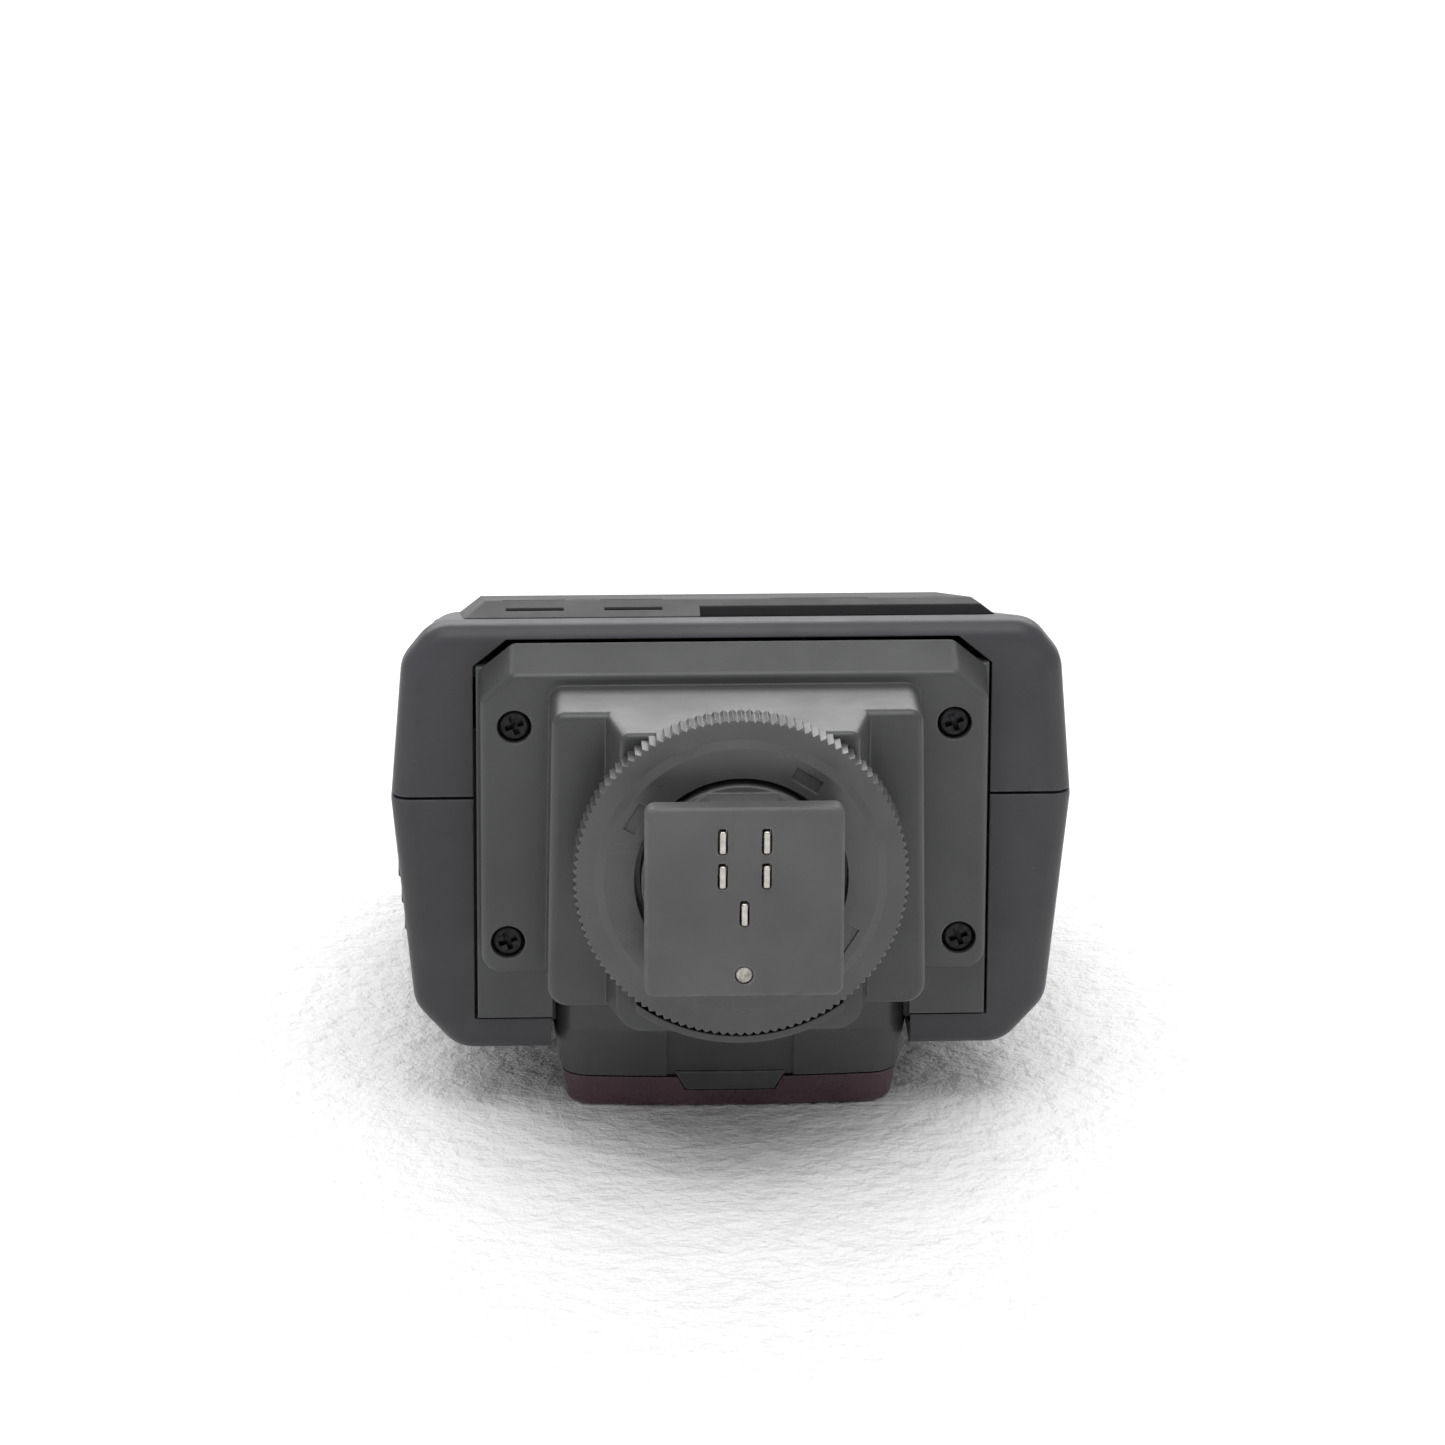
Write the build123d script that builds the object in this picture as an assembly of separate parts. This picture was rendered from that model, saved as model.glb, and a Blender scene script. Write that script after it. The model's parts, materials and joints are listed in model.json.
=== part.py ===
from build123d import *
import math
import os

os.makedirs("parts", exist_ok=True)

# A compact fixed-head shoe flash that lies on its front.
# +X is to the right, +Y runs from the shoe foot to the flash head, +Z points out of the rear panel.
# "Depth" is measured along +Y from the outer face of the shoe plate.
# "Height" is measured along +Z from the axis of the foot and its lock ring.

# ---------------------------------------------------------------- overall case
CASE_HALF_WIDTH = 32.8
HEAD_NARROWING = 1.4
CASE_START = 27.0
SLOPE_START = 30.0
HEAD_LENGTH = 29.6
CASE_REAR = 18.3
REAR_SLOPE_DEG = 17.0
CASE_FRONT = -24.9
FOOT_AXIS_HEIGHT = 31.5
CASE_WALL = 1.8
CASE_EDGE_RADIUS = 3.6
CASE_END_RADIUS = 1.8
REAR_CORNER = (4.0, 3.7)
FRONT_CORNER = (4.1, 4.6)
SIDE_LEAN_REAR = 1.1
SIDE_LEAN_FRONT = 2.1
SIDE_HEIGHT = 0.6
HEAD_SIDE_HEIGHT = -12.0

# ---------------------------------------------------------------- clearances
FIXED_GAP = 0.15
MOVING_GAP = 0.3
RUNNING_FIT = 0.06
SEAT_GAP = 0.02

# ---------------------------------------------------------------- case joints
COVER_MARGIN = 0.7
PARTING_HEIGHT = 1.35
HEAD_PARTING = -9.0
RIB_PITCH = 2.75
RIB_COUNT = 3
RIB_RISE = 0.3
RIB_WIDTH = 1.0
RIB_LENGTH = 8.0
RIB_FIRST_HEIGHT = -8.4
RIB_DEPTH = 33.0
FAR = 60.0

# ---------------------------------------------------------------- foot base
FRAME_FACE = 22.0
FRAME_HALF_WIDTH = 24.3
FRAME_REAR = 15.2
FRAME_FRONT = -15.0
FRAME_CHAMFER = (3.2, 2.65)
FRAME_DRAFT = 1.8
FRAME_SEAT = 26.5
FRAME_EDGE_RADIUS = 0.7
FRAME_CORNER = 2.0
FRAME_REAR_CORNER = 1.2
STEP_FACE = 15.0
STEP_HALF_WIDTH = 18.1
STEP_NARROWING = 0.5
STEP_REAR = 13.6
STEP_FRONT = -15.9
STEP_DRAFT = 0.6
STEP_CORNER = 2.0
STEP_REAR_CORNER = 1.3
STEP_EDGE_RADIUS = 0.8
STEP_WALL = 2.0
PEDESTAL_FACE = 10.0
PEDESTAL_HALF_WIDTH = 11.2
PEDESTAL_FLARE = 1.3
PEDESTAL_CORNER = 0.9
PEDESTAL_EDGE_RADIUS = 0.5
GUARD_HALF_WIDTH = 11.65
GUARD_REACH = 0.35
GUARD_START_HEIGHT = -9.0
GUARD_FACE = 9.4
GUARD_CORNER = 2.5
GUARD_LIP = 0.7
GUARD_LIP_FACE = 7.6
GUARD_WINDOW_HALF_WIDTH = 9.8
SCREW_REAR_INSET = (3.3, 5.15)
SCREW_FRONT_INSET = (2.6, 3.25)
SCREW_HEAD_RADIUS = 1.5
SCREW_HEAD_DEPTH = 1.2
SCREW_SHANK_RADIUS = 0.9
SCREW_LENGTH = 8.0
SCREW_SINK = 0.35
CROSS_SLOT_WIDTH = 0.5
CROSS_SLOT_DEPTH = 0.8
CROSS_REACH = 0.9
CROSS_TURN_DEG = 20.0

# ---------------------------------------------------------------- base plate and tray
BASE_PLATE_THICKNESS = 2.0
BASE_PLATE_MARGIN = 0.3
BASE_PLATE_FRONT = -21.2
BASE_PLATE_REAR = 14.6
BASE_PLATE_WINDOW = (20.0, 18.0)
BASE_SEAT = (41.2, -12.0, 6.0)
TRAY_OFFSET = 1.1
TRAY_END_ROOM = 2.0
TRAY_WALL = 1.2
CELL_RADIUS = 7.1
CELL_LENGTH = 50.0
CELL_NUB_RADIUS = 2.7
CELL_NUB_LENGTH = 1.2
CELL_GAP = 0.3
CELL_EDGE_RADIUS = 0.6
CONE_RADII = (4.6, 3.0)
CONTACT_PLATE_INSET = 2.1
CONTACT_PLATE_THICKNESS = 0.5
CONTACT_DIMPLE_RADIUS = 2.4
SHELF_HEIGHT = -12.5
SHELF_THICKNESS = 1.2
SHELF_MARGIN = 2.2
SHELF_END_ROOM = 2.6
HINGE_HEIGHT = -22.6
HINGE_OFFSET = 0.6
HINGE_PIN_RADIUS = 0.75
KNUCKLE_RADIUS = 1.95
KNUCKLE_START = 18.8
KNUCKLE_LENGTH = 5.2
EAR_LENGTH = 4.2
EAR_WEB_HEIGHT = 4.0

# ---------------------------------------------------------------- shoe foot and lock ring
PLATE_WIDTH = 18.6
PLATE_THICKNESS = 2.0
PLATE_CORNER = 1.0
NECK_HALF_WIDTH = 6.0
NECK_TOP_HALF_WIDTH = 3.05
NECK_HALF_LENGTH = 8.7
NECK_SHOULDER = 7.0
NECK_END = 6.0
STEM_RADIUS = 9.4
STEM_FLANGE_RADIUS = 11.5
STEM_FLANGE_THICKNESS = 1.8
STEM_SCREW_CIRCLE = 10.4
STEM_SCREW_RADIUS = 0.7
STEM_SCREW_HEAD_RADIUS = 1.33
STEM_SCREW_HEAD_THICKNESS = 0.9
STEM_SCREW_SKIN = 0.7
RING_FACE = 6.3
FLANGE_FACE = 6.7
FLANGE_THICKNESS = 3.0
RING_RADIUS = 15.85
TOOTH_DEPTH = 0.42
TOOTH_COUNT = 120
RAISED_RADIUS = 13.75
RAISED_BEVEL = 0.78
RING_HOLE_RADIUS = 10.05
RING_THREAD_DEPTH = 1.7
RING_MARK = (3.0, 1.3, 0.25)
RING_MARK_ANGLES = (58, 148, 238, 328)
RING_EDGE_CHAMFER = 0.25
WASHER_THICKNESS = 0.5
WASHER_RADIUS = 12.4

# ---------------------------------------------------------------- contacts and lock pin
CONTACT_RISE = 0.4
CONTACT_WIDTH = 0.6
CONTACT_LENGTH = 2.2
CONTACT_CLEARANCE = 0.16
CONTACT_X = 2.05
CONTACT_ROWS = (6.0, 2.6)
CONTACT_CENTRE_HEIGHT = -1.1
CONTACT_SHOULDER = 0.25
CARRIER_FACE = 4.3
CARRIER_LENGTH = 9.0
LEAF_THICKNESS = 0.2
LEAF_WIDTH = 0.9
LEAF_LENGTH = 2.6
SHOULDER_THICKNESS = 0.9
CAVITY_HALF_WIDTH = 3.4
CAVITY_REAR = 7.6
CAVITY_FRONT = -2.7
PIN_HEIGHT = -7.2
PIN_RADIUS = 0.8
PIN_CLEARANCE = 0.08
PIN_HEAD_RADIUS = 1.25
PIN_HEAD_THICKNESS = 0.9
PIN_CHANNEL_RADIUS = 1.6
PIN_CHANNEL_START = 9.2
PIN_SPRING_LENGTH = 3.9

# ---------------------------------------------------------------- autofocus lamp
AF_HALF_WIDTH = 17.2
AF_FACE = 27.0
AF_BULGE = 1.0
AF_CORNER = 3.0
AF_TAPER_DEG = 9.0
AF_BACK = 36.0
AF_SEAM = -28.0
AF_SEAM_GAP = 0.15
AF_ROOF = -23.1
AF_WALL = 1.3
AF_BRIDGE_TOP_HALF_WIDTH = 5.4
AF_BRIDGE_BOTTOM_HALF_WIDTH = 4.3
AF_BRIDGE_HEIGHT = 1.5
AF_RECESS_HALF_WIDTH = 6.2
AF_RECESS = 0.35
AF_BRIDGE_THICKNESS = 1.6
AF_LED_RADIUS = 1.5
AF_LED_HEIGHT = 2.2
AF_BOARD = (16.0, 4.6, 0.8)
AF_FLOOR = 1.4
AF_EDGE_RADIUS = 0.9

# ---------------------------------------------------------------- flash head
BEZEL_MARGIN = 3.4
BEZEL_OFFSET = 3.6
BEZEL_RAKE = 2.0
BEZEL_END_RAKE = 1.0
BEZEL_END_ROOM = 0.4
BEZEL_EDGE_RADIUS = 0.8
WINDOW_HALF_WIDTH = 25.6
WINDOW_START_MARGIN = 4.4
WINDOW_END_MARGIN = 3.2
WINDOW_CORNER = 1.0
WINDOW_EDGE_RADIUS = 0.4
WINDOW_THICKNESS = 1.8
WINDOW_SINK = 0.6
WINDOW_LEDGE = 0.8
REFLECTOR_DEPTH = 14.4
REFLECTOR_WALL = 0.6
REFLECTOR_BACK_HALF_WIDTH = 20.5
REFLECTOR_MARGIN = 0.9
REFLECTOR_ROOM = 1.2
REFLECTOR_BACK_SPAN = 7.0
TUBE_RADIUS = 1.6
TUBE_HEIGHT = -17.6
TUBE_HALF_LENGTH = 24.0
TUBE_CAP_LENGTH = 2.6
TUBE_CAP_RADIUS = 2.3
TUBE_CAP_LAP = 0.5
TUBE_STRAP_WIDTH = 3.0
CAPACITOR_RADIUS = 7.2
CAPACITOR_LENGTH = 34.0
CAPACITOR_EDGE_RADIUS = 0.8
CAPACITOR_MARGIN = 1.5
CAPACITOR_CENTRE_X = -9.5
BOSS_RADIUS = 2.0
BOSS_MARGIN = (5.0, 5.6)
CASE_SCREW_LENGTH = 5.0
MAIN_BOARD_X = (10.5, 27.5)
MAIN_BOARD_MARGIN = (2.0, 3.5)
MAIN_BOARD_THICKNESS = 1.2
POST_RADIUS = 1.2
POST_HEIGHT = 1.0
POST_INSET = 2.0
TRANSFORMER_SIZE = (10.0, 9.0, 6.4)
TRANSFORMER_PLACE = (18.0, 6.5)
TRANSFORMER_CORNER = 0.8
COIL_RADIUS = 2.2
COIL_FLANGE_RADIUS = 2.4
COIL_FLANGE_WIDTH = 0.8
COIL_LENGTH = 10.6
COIL_PLACE = (18.0, 5.0)

# ---------------------------------------------------------------- rear control panel
PANEL_HALF_WIDTH = 25.7
PANEL_TOP_HALF_WIDTH = 23.5
PANEL_START = 2.2
PANEL_LENGTH = 55.0
PANEL_RISE = 1.7
PANEL_RAMP = 3.6
PANEL_END_RAMP = 1.5
PANEL_STEP_START_X = -2.9
PANEL_STEP_LENGTH = 2.2
CONTROL_ROW = 9.0
BUTTON_WIDTH = 5.6
BUTTON_LENGTH = 4.4
BUTTON_SINK = 0.1
BUTTON_TRAVEL = 0.5
BUTTON_STEM = 1.6
SYNC_BUTTON_X = -18.8
TEST_BUTTON_X = -9.3
SWITCH_X = 7.0
SWITCH_TRAVEL = 4.0
SWITCH_KNOB = (5.0, 4.0)
SWITCH_SINK = 0.05
LAMP_RADIUS = 1.4
READY_LAMP_X = 20.0
SYNC_LAMP_X = -14.05
BOARD_MARGIN = 0.8
BOARD_START = 2.0
BOARD_LENGTH = 12.6
BOARD_THICKNESS = 1.2
BOARD_LEVEL = -4.4
BOARD_POST_RADIUS = 1.3
TACT_SIZE = 4.0
TACT_HEIGHT = 1.1
BOARD_POST_INSET = 2.5
GRIP_GROOVE = (0.5, 0.35)
GRIP_PITCH = 1.25
BUTTON_EDGE_RADIUS = 0.4
LAMP_EDGE_RADIUS = 0.3
PANEL_MARK_WIDTH = 0.6
PANEL_MARK_FLOOR = 0.2
RANGE_PLATE = (36.0, 26.0, 0.4)
RANGE_PLATE_ROW = 36.0

# ---------------------------------------------------------------- derived places
TRAY_START = FRAME_SEAT + BASE_PLATE_THICKNESS + TRAY_OFFSET
TRAY_INNER_START = TRAY_START + TRAY_WALL
CELL_PITCH = 2 * CELL_RADIUS + CELL_GAP
CELL_DEPTHS = [TRAY_INNER_START + CELL_GAP + CELL_RADIUS + row * CELL_PITCH for row in range(2)]
TRAY_FRONT = CASE_FRONT + CASE_WALL + 0.5
CELL_LOW_HEIGHT = TRAY_FRONT + CELL_RADIUS
CELL_HEIGHTS = [CELL_LOW_HEIGHT, CELL_LOW_HEIGHT + CELL_PITCH]
TRAY_INNER_END = CELL_DEPTHS[1] + CELL_RADIUS + CELL_GAP
TRAY_END = TRAY_INNER_END + TRAY_WALL
COVER_END = TRAY_END + COVER_MARGIN
HINGE_DEPTH = COVER_END + HINGE_OFFSET
HEAD_END = COVER_END + HEAD_LENGTH
HEAD_HALF_WIDTH = CASE_HALF_WIDTH - HEAD_NARROWING
Y_SHIFT = -(HEAD_END - CONTACT_RISE) / 2
SLOPE = math.tan(math.radians(REAR_SLOPE_DEG))
HEAD_REAR = CASE_REAR - SLOPE * (HEAD_END - SLOPE_START)
TRAY_INNER_REAR = CELL_HEIGHTS[1] + CELL_RADIUS + 0.1
TRAY_REAR = TRAY_INNER_REAR + TRAY_WALL
TRAY_INNER_HALF_WIDTH = CELL_LENGTH / 2 + TRAY_END_ROOM
TRAY_HALF_WIDTH = TRAY_INNER_HALF_WIDTH + TRAY_WALL
SHELF_TOP = SHELF_HEIGHT + SHELF_THICKNESS
FLANGE_BACK = FLANGE_FACE + FLANGE_THICKNESS
GUARD_INNER_RADIUS = RING_RADIUS + MOVING_GAP
GUARD_OUTER_RADIUS = GUARD_INNER_RADIUS + GUARD_LIP
GUARD_FRONT = -RING_RADIUS - GUARD_REACH
STEM_FLANGE_START = STEP_FACE + STEP_WALL
BASE_PLATE_HALF_WIDTH = FRAME_HALF_WIDTH + BASE_PLATE_MARGIN
REST_HEIGHT = -FOOT_AXIS_HEIGHT
BEZEL_START = HINGE_DEPTH + BEZEL_OFFSET
BEZEL_HALF_WIDTH = WINDOW_HALF_WIDTH + BEZEL_MARGIN
WINDOW_START = BEZEL_START + WINDOW_START_MARGIN
WINDOW_END = HEAD_END - WINDOW_END_MARGIN
TUBE_DEPTH = (WINDOW_START + WINDOW_END) / 2
SHELF_END = HEAD_END - SHELF_END_ROOM
BOSS_X = HEAD_HALF_WIDTH - BOSS_MARGIN[0]
BOSS_DEPTH = HEAD_END - BOSS_MARGIN[1]
SHELF_HALF_WIDTH = BOSS_X + SHELF_MARGIN
CAPACITOR_DEPTH = TRAY_END + CAPACITOR_RADIUS + CAPACITOR_MARGIN
MAIN_BOARD_START = TRAY_END + MAIN_BOARD_MARGIN[0]
MAIN_BOARD_END = BOSS_DEPTH - MAIN_BOARD_MARGIN[1]
MAIN_BOARD_BACK = SHELF_TOP + POST_HEIGHT
MAIN_BOARD_TOP = MAIN_BOARD_BACK + MAIN_BOARD_THICKNESS
BOARD_HALF_WIDTH = PANEL_HALF_WIDTH + BOARD_MARGIN
WINDOW_OUTER = REST_HEIGHT + WINDOW_SINK
WINDOW_INNER = WINDOW_OUTER + WINDOW_THICKNESS
CONTACT_PLACES = {"contact_pin_centre": (0.0, CONTACT_CENTRE_HEIGHT)}
for row_name, row_height in zip(("rear", "middle"), CONTACT_ROWS):
    CONTACT_PLACES["contact_pin_" + row_name + "_left"] = (-CONTACT_X, row_height)
    CONTACT_PLACES["contact_pin_" + row_name + "_right"] = (CONTACT_X, row_height)
SCREW_PLACES = []
for side in (-1, 1):
    SCREW_PLACES.append((side * (FRAME_HALF_WIDTH - SCREW_REAR_INSET[0]), FRAME_REAR - SCREW_REAR_INSET[1]))
    SCREW_PLACES.append((side * (FRAME_HALF_WIDTH - SCREW_FRONT_INSET[0]),
                         FRAME_FRONT + SCREW_FRONT_INSET[1]))


# ---------------------------------------------------------------- helpers
def y_at(depth):
    return depth + Y_SHIFT


def z_at(height):
    return height + FOOT_AXIS_HEIGHT


def box(x_span, depth_span, height_span):
    """Box between two X values, two depths and two heights."""
    size = [abs(span[1] - span[0]) for span in (x_span, depth_span, height_span)]
    centre = (sum(x_span) / 2, y_at(sum(depth_span) / 2), z_at(sum(height_span) / 2))
    return Pos(*centre) * Box(*size)


def face_at_depth(outline, depth):
    """Face through (x, height) points at one depth."""
    points = [(x, y_at(depth), z_at(height)) for x, height in outline]
    return make_face(Polyline(*points, close=True))


def prism_y(outline, depth_from, depth_to):
    """Outline of (x, height) points run between two depths."""
    return extrude(face_at_depth(outline, depth_from), amount=depth_to - depth_from, dir=(0, 1, 0))


def prism_x(outline, half_width, centre=0.0):
    """Outline of (depth, height) points run across the width."""
    points = [(centre - half_width, y_at(depth), z_at(height)) for depth, height in outline]
    face = make_face(Polyline(*points, close=True))
    return extrude(face, amount=2 * half_width, dir=(1, 0, 0))


def rod_y(x, height, radius, depth_from, depth_to):
    """Round bar along Y."""
    middle = (x, y_at((depth_from + depth_to) / 2), z_at(height))
    return Location(middle, (90, 0, 0)) * Cylinder(radius, depth_to - depth_from)


def rod_x(depth, height, radius, x_from, x_to):
    """Round bar along X."""
    middle = ((x_from + x_to) / 2, y_at(depth), z_at(height))
    return Location(middle, (0, 90, 0)) * Cylinder(radius, x_to - x_from)


def rod_z(x, depth, radius, height_from, height_to):
    """Round bar along Z."""
    middle = Pos(x, y_at(depth), z_at((height_from + height_to) / 2))
    return middle * Cylinder(radius, height_to - height_from)


def mirror_outline(right_side):
    """Closed symmetric outline from its right-hand points."""
    return right_side + [(-x, height) for x, height in reversed(right_side)]


def both_sides(shape):
    return shape + mirror(shape, about=Plane.YZ)


REAR_SURFACE = Plane(
    origin=(0, y_at(SLOPE_START), z_at(CASE_REAR)),
    x_dir=(1, 0, 0),
    z_dir=(0, math.sin(math.radians(REAR_SLOPE_DEG)), math.cos(math.radians(REAR_SLOPE_DEG))),
)


def on_rear(x, along, level_from, level_to, width, length):
    """Box on the sloping rear: centre x, distance along the slope, levels out of the surface."""
    middle = Pos(x, along, (level_from + level_to) / 2)
    return REAR_SURFACE * middle * Box(width, length, level_to - level_from)


def rod_on_rear(x, along, radius, level_from, level_to):
    middle = Pos(x, along, (level_from + level_to) / 2)
    return REAR_SURFACE * middle * Cylinder(radius, level_to - level_from)


# ---------------------------------------------------------------- case shells
def case_outline(half_width, rear, front, side_height, inset):
    """Symmetric section of the case, moved inward by a wall."""
    soften = inset * 0.45
    half = half_width - inset
    return mirror_outline([
        (half - REAR_CORNER[0] + soften, rear - inset),
        (half - SIDE_LEAN_REAR, rear - REAR_CORNER[1] - inset + soften),
        (half, side_height),
        (half - SIDE_LEAN_FRONT, front + FRONT_CORNER[1] + inset - soften),
        (half - SIDE_LEAN_FRONT - FRONT_CORNER[0] + soften, front + inset),
    ])


def case_solid(inset, depth_from, depth_to, corner_radius=0.0):
    """Tapered case between two depths; the rear drops along the slope."""
    def rear_at(depth):
        return CASE_REAR - SLOPE * max(depth - SLOPE_START, 0)

    def share(depth):
        return max(depth - SLOPE_START, 0) / (HEAD_END - SLOPE_START)

    def section(depth):
        half = CASE_HALF_WIDTH + (HEAD_HALF_WIDTH - CASE_HALF_WIDTH) * share(depth)
        side_height = SIDE_HEIGHT + (HEAD_SIDE_HEIGHT - SIDE_HEIGHT) * share(depth)
        outline = case_outline(half, rear_at(depth), CASE_FRONT, side_height, inset)
        face = face_at_depth(outline, depth)
        if corner_radius:
            corners = [v for v in face.vertices() if abs(v.Z - z_at(side_height)) > 1]
            face = fillet(corners, corner_radius)
        return face

    straight = extrude(section(depth_from), amount=SLOPE_START - depth_from, dir=(0, 1, 0))
    tapered = loft([section(SLOPE_START), section(depth_to)], ruled=True)
    return straight + tapered


def case_parts():
    """The rear shell, the battery cover and the head's front shell."""
    outer = case_solid(0, CASE_START, HEAD_END, CASE_EDGE_RADIUS)
    outer = fillet(outer.faces().sort_by(Axis.Y)[0].edges(), CASE_END_RADIUS)
    outer = fillet(outer.faces().sort_by(Axis.Y)[-1].edges(), CASE_END_RADIUS)
    inner = case_solid(CASE_WALL, CASE_START + CASE_WALL, HEAD_END - CASE_WALL)

    rear_region = prism_x([(0, PARTING_HEIGHT), (COVER_END, PARTING_HEIGHT), (COVER_END, HEAD_PARTING),
                           (HEAD_END + FAR, HEAD_PARTING),
                           (HEAD_END + FAR, FAR), (0, FAR)], FAR)
    cover_limit = COVER_END - MOVING_GAP
    cover_top = PARTING_HEIGHT - MOVING_GAP
    cover_region = prism_x([(0, cover_top), (cover_limit, cover_top), (cover_limit, -FAR), (0, -FAR)], FAR)
    head_limit = HEAD_PARTING - 0.1
    head_region = prism_x([(COVER_END, head_limit), (HEAD_END + FAR, head_limit), (HEAD_END + FAR, -FAR),
                           (COVER_END, -FAR)], FAR)

    shell = outer - inner
    frame_hole_half = BASE_PLATE_HALF_WIDTH + MOVING_GAP
    frame_hole_rear = FRAME_REAR + FRAME_DRAFT + FIXED_GAP
    frame_hole = prism_y(mirror_outline([
        (frame_hole_half - FRAME_CHAMFER[0], frame_hole_rear),
        (frame_hole_half, frame_hole_rear - FRAME_CHAMFER[1]),
        (frame_hole_half, -FAR),
    ]), 0, TRAY_START)
    rear = (shell - frame_hole) & rear_region
    rear = add_rear_details(rear)

    af_hole_half = AF_HALF_WIDTH + MOVING_GAP
    barrel = rod_x(HINGE_DEPTH, HINGE_HEIGHT, KNUCKLE_RADIUS, -FAR, FAR)
    cover = (shell & cover_region) + (outer & barrel)
    cover = cover - box((-frame_hole_half, frame_hole_half), (0, TRAY_START),
                        (BASE_PLATE_FRONT - MOVING_GAP, FAR))
    cover = cover - box((-af_hole_half, af_hole_half), (0, AF_BACK + MOVING_GAP), (-FAR, FAR))
    cover = add_cover_details(cover)

    front = (shell & head_region) + head_bezel()
    front = front - head_cavity()
    front = front - hinge_sweep()
    return rear, cover, front


def add_rear_details(rear):
    """Bosses, board posts and the openings for the controls."""
    for side in (-1, 1):
        boss = rod_z(side * BOSS_X, BOSS_DEPTH, BOSS_RADIUS, SHELF_TOP, HEAD_REAR + 0.6)
        rear = rear + (boss - rod_z(side * BOSS_X, BOSS_DEPTH, SCREW_SHANK_RADIUS, SHELF_TOP - 1, -5))
    post_x = BOARD_HALF_WIDTH - BOARD_POST_INSET
    for x in (-post_x, 0, post_x):
        rear = rear + rod_on_rear(x, BOARD_START + BOARD_LENGTH / 2, BOARD_POST_RADIUS, BOARD_LEVEL, -1)
    for x in (SYNC_BUTTON_X, TEST_BUTTON_X):
        hole = BUTTON_STEM + 2 * MOVING_GAP
        rear = rear - on_rear(x, CONTROL_ROW, -CASE_WALL - 1.5, 1, hole, hole)
    slot = SWITCH_TRAVEL + BUTTON_STEM + 2 * MOVING_GAP
    rear = rear - on_rear(SWITCH_X + SWITCH_TRAVEL / 2, CONTROL_ROW, -CASE_WALL - 1.5, 1,
                          slot, BUTTON_STEM + 2 * MOVING_GAP)
    return rear


def add_cover_details(cover):
    """Grip ribs on both sides, room for the hinge ears and the bores for the pins."""
    for index in range(RIB_COUNT):
        height = RIB_FIRST_HEIGHT - index * RIB_PITCH
        lean = SIDE_LEAN_FRONT * -height / (-CASE_FRONT - FRONT_CORNER[1])
        surface = CASE_HALF_WIDTH - lean - 0.05
        rib = box((surface - 1.0, surface + RIB_RISE), (RIB_DEPTH, RIB_DEPTH + RIB_LENGTH),
                  (height - RIB_WIDTH / 2, height + RIB_WIDTH / 2))
        rib = fillet(rib.edges().group_by(Axis.X)[-1], RIB_RISE * 0.8)
        cover = cover + both_sides(rib)
    reach = KNUCKLE_RADIUS + MOVING_GAP
    ear_room = box((KNUCKLE_START - 2 * MOVING_GAP - EAR_LENGTH, KNUCKLE_START),
                   (HINGE_DEPTH - reach, HINGE_DEPTH + reach), (-FAR, HINGE_HEIGHT + reach))
    end = KNUCKLE_START + KNUCKLE_LENGTH
    bore = rod_x(HINGE_DEPTH, HINGE_HEIGHT, HINGE_PIN_RADIUS + RUNNING_FIT, KNUCKLE_START - 2, end)
    return cover - both_sides(ear_room) - both_sides(bore)


def hinge_sweep():
    """Room that the cover's end sweeps as it swings, across the full width."""
    reach = math.hypot(HINGE_DEPTH - COVER_END + MOVING_GAP, HINGE_HEIGHT - CASE_FRONT) + MOVING_GAP
    below = box((-FAR, FAR), (HINGE_DEPTH, HINGE_DEPTH + reach), (-FAR, HINGE_HEIGHT))
    return rod_x(HINGE_DEPTH, HINGE_HEIGHT, reach, -FAR, FAR) + below


def head_bezel():
    """Raised surround of the flash window."""
    profile = [
        (BEZEL_START, CASE_FRONT + CASE_WALL),
        (BEZEL_START, CASE_FRONT),
        (BEZEL_START + BEZEL_RAKE, REST_HEIGHT),
        (HEAD_END - BEZEL_END_ROOM - BEZEL_END_RAKE, REST_HEIGHT),
        (HEAD_END - BEZEL_END_ROOM, CASE_FRONT),
        (HEAD_END - BEZEL_END_ROOM, CASE_FRONT + CASE_WALL),
    ]
    bezel = prism_x(profile, BEZEL_HALF_WIDTH)
    return fillet(bezel.faces().sort_by(Axis.Z)[0].edges(), BEZEL_EDGE_RADIUS)


def head_cavity():
    """Room inside the head behind the window, and the window's own seat."""
    half = WINDOW_HALF_WIDTH
    seat = box((-half - FIXED_GAP, half + FIXED_GAP), (WINDOW_START - FIXED_GAP, WINDOW_END + FIXED_GAP),
               (REST_HEIGHT - 1, WINDOW_INNER))
    ledge = WINDOW_LEDGE
    room = box((-half + ledge, half - ledge), (WINDOW_START + ledge, WINDOW_END - ledge),
               (WINDOW_INNER - 1, 0))
    wide = box((-half - REFLECTOR_ROOM, half + REFLECTOR_ROOM),
               (WINDOW_START - REFLECTOR_ROOM, WINDOW_END + REFLECTOR_ROOM - 0.4),
               (WINDOW_INNER + 1.0, HEAD_PARTING))
    return seat + room + wide


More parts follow.
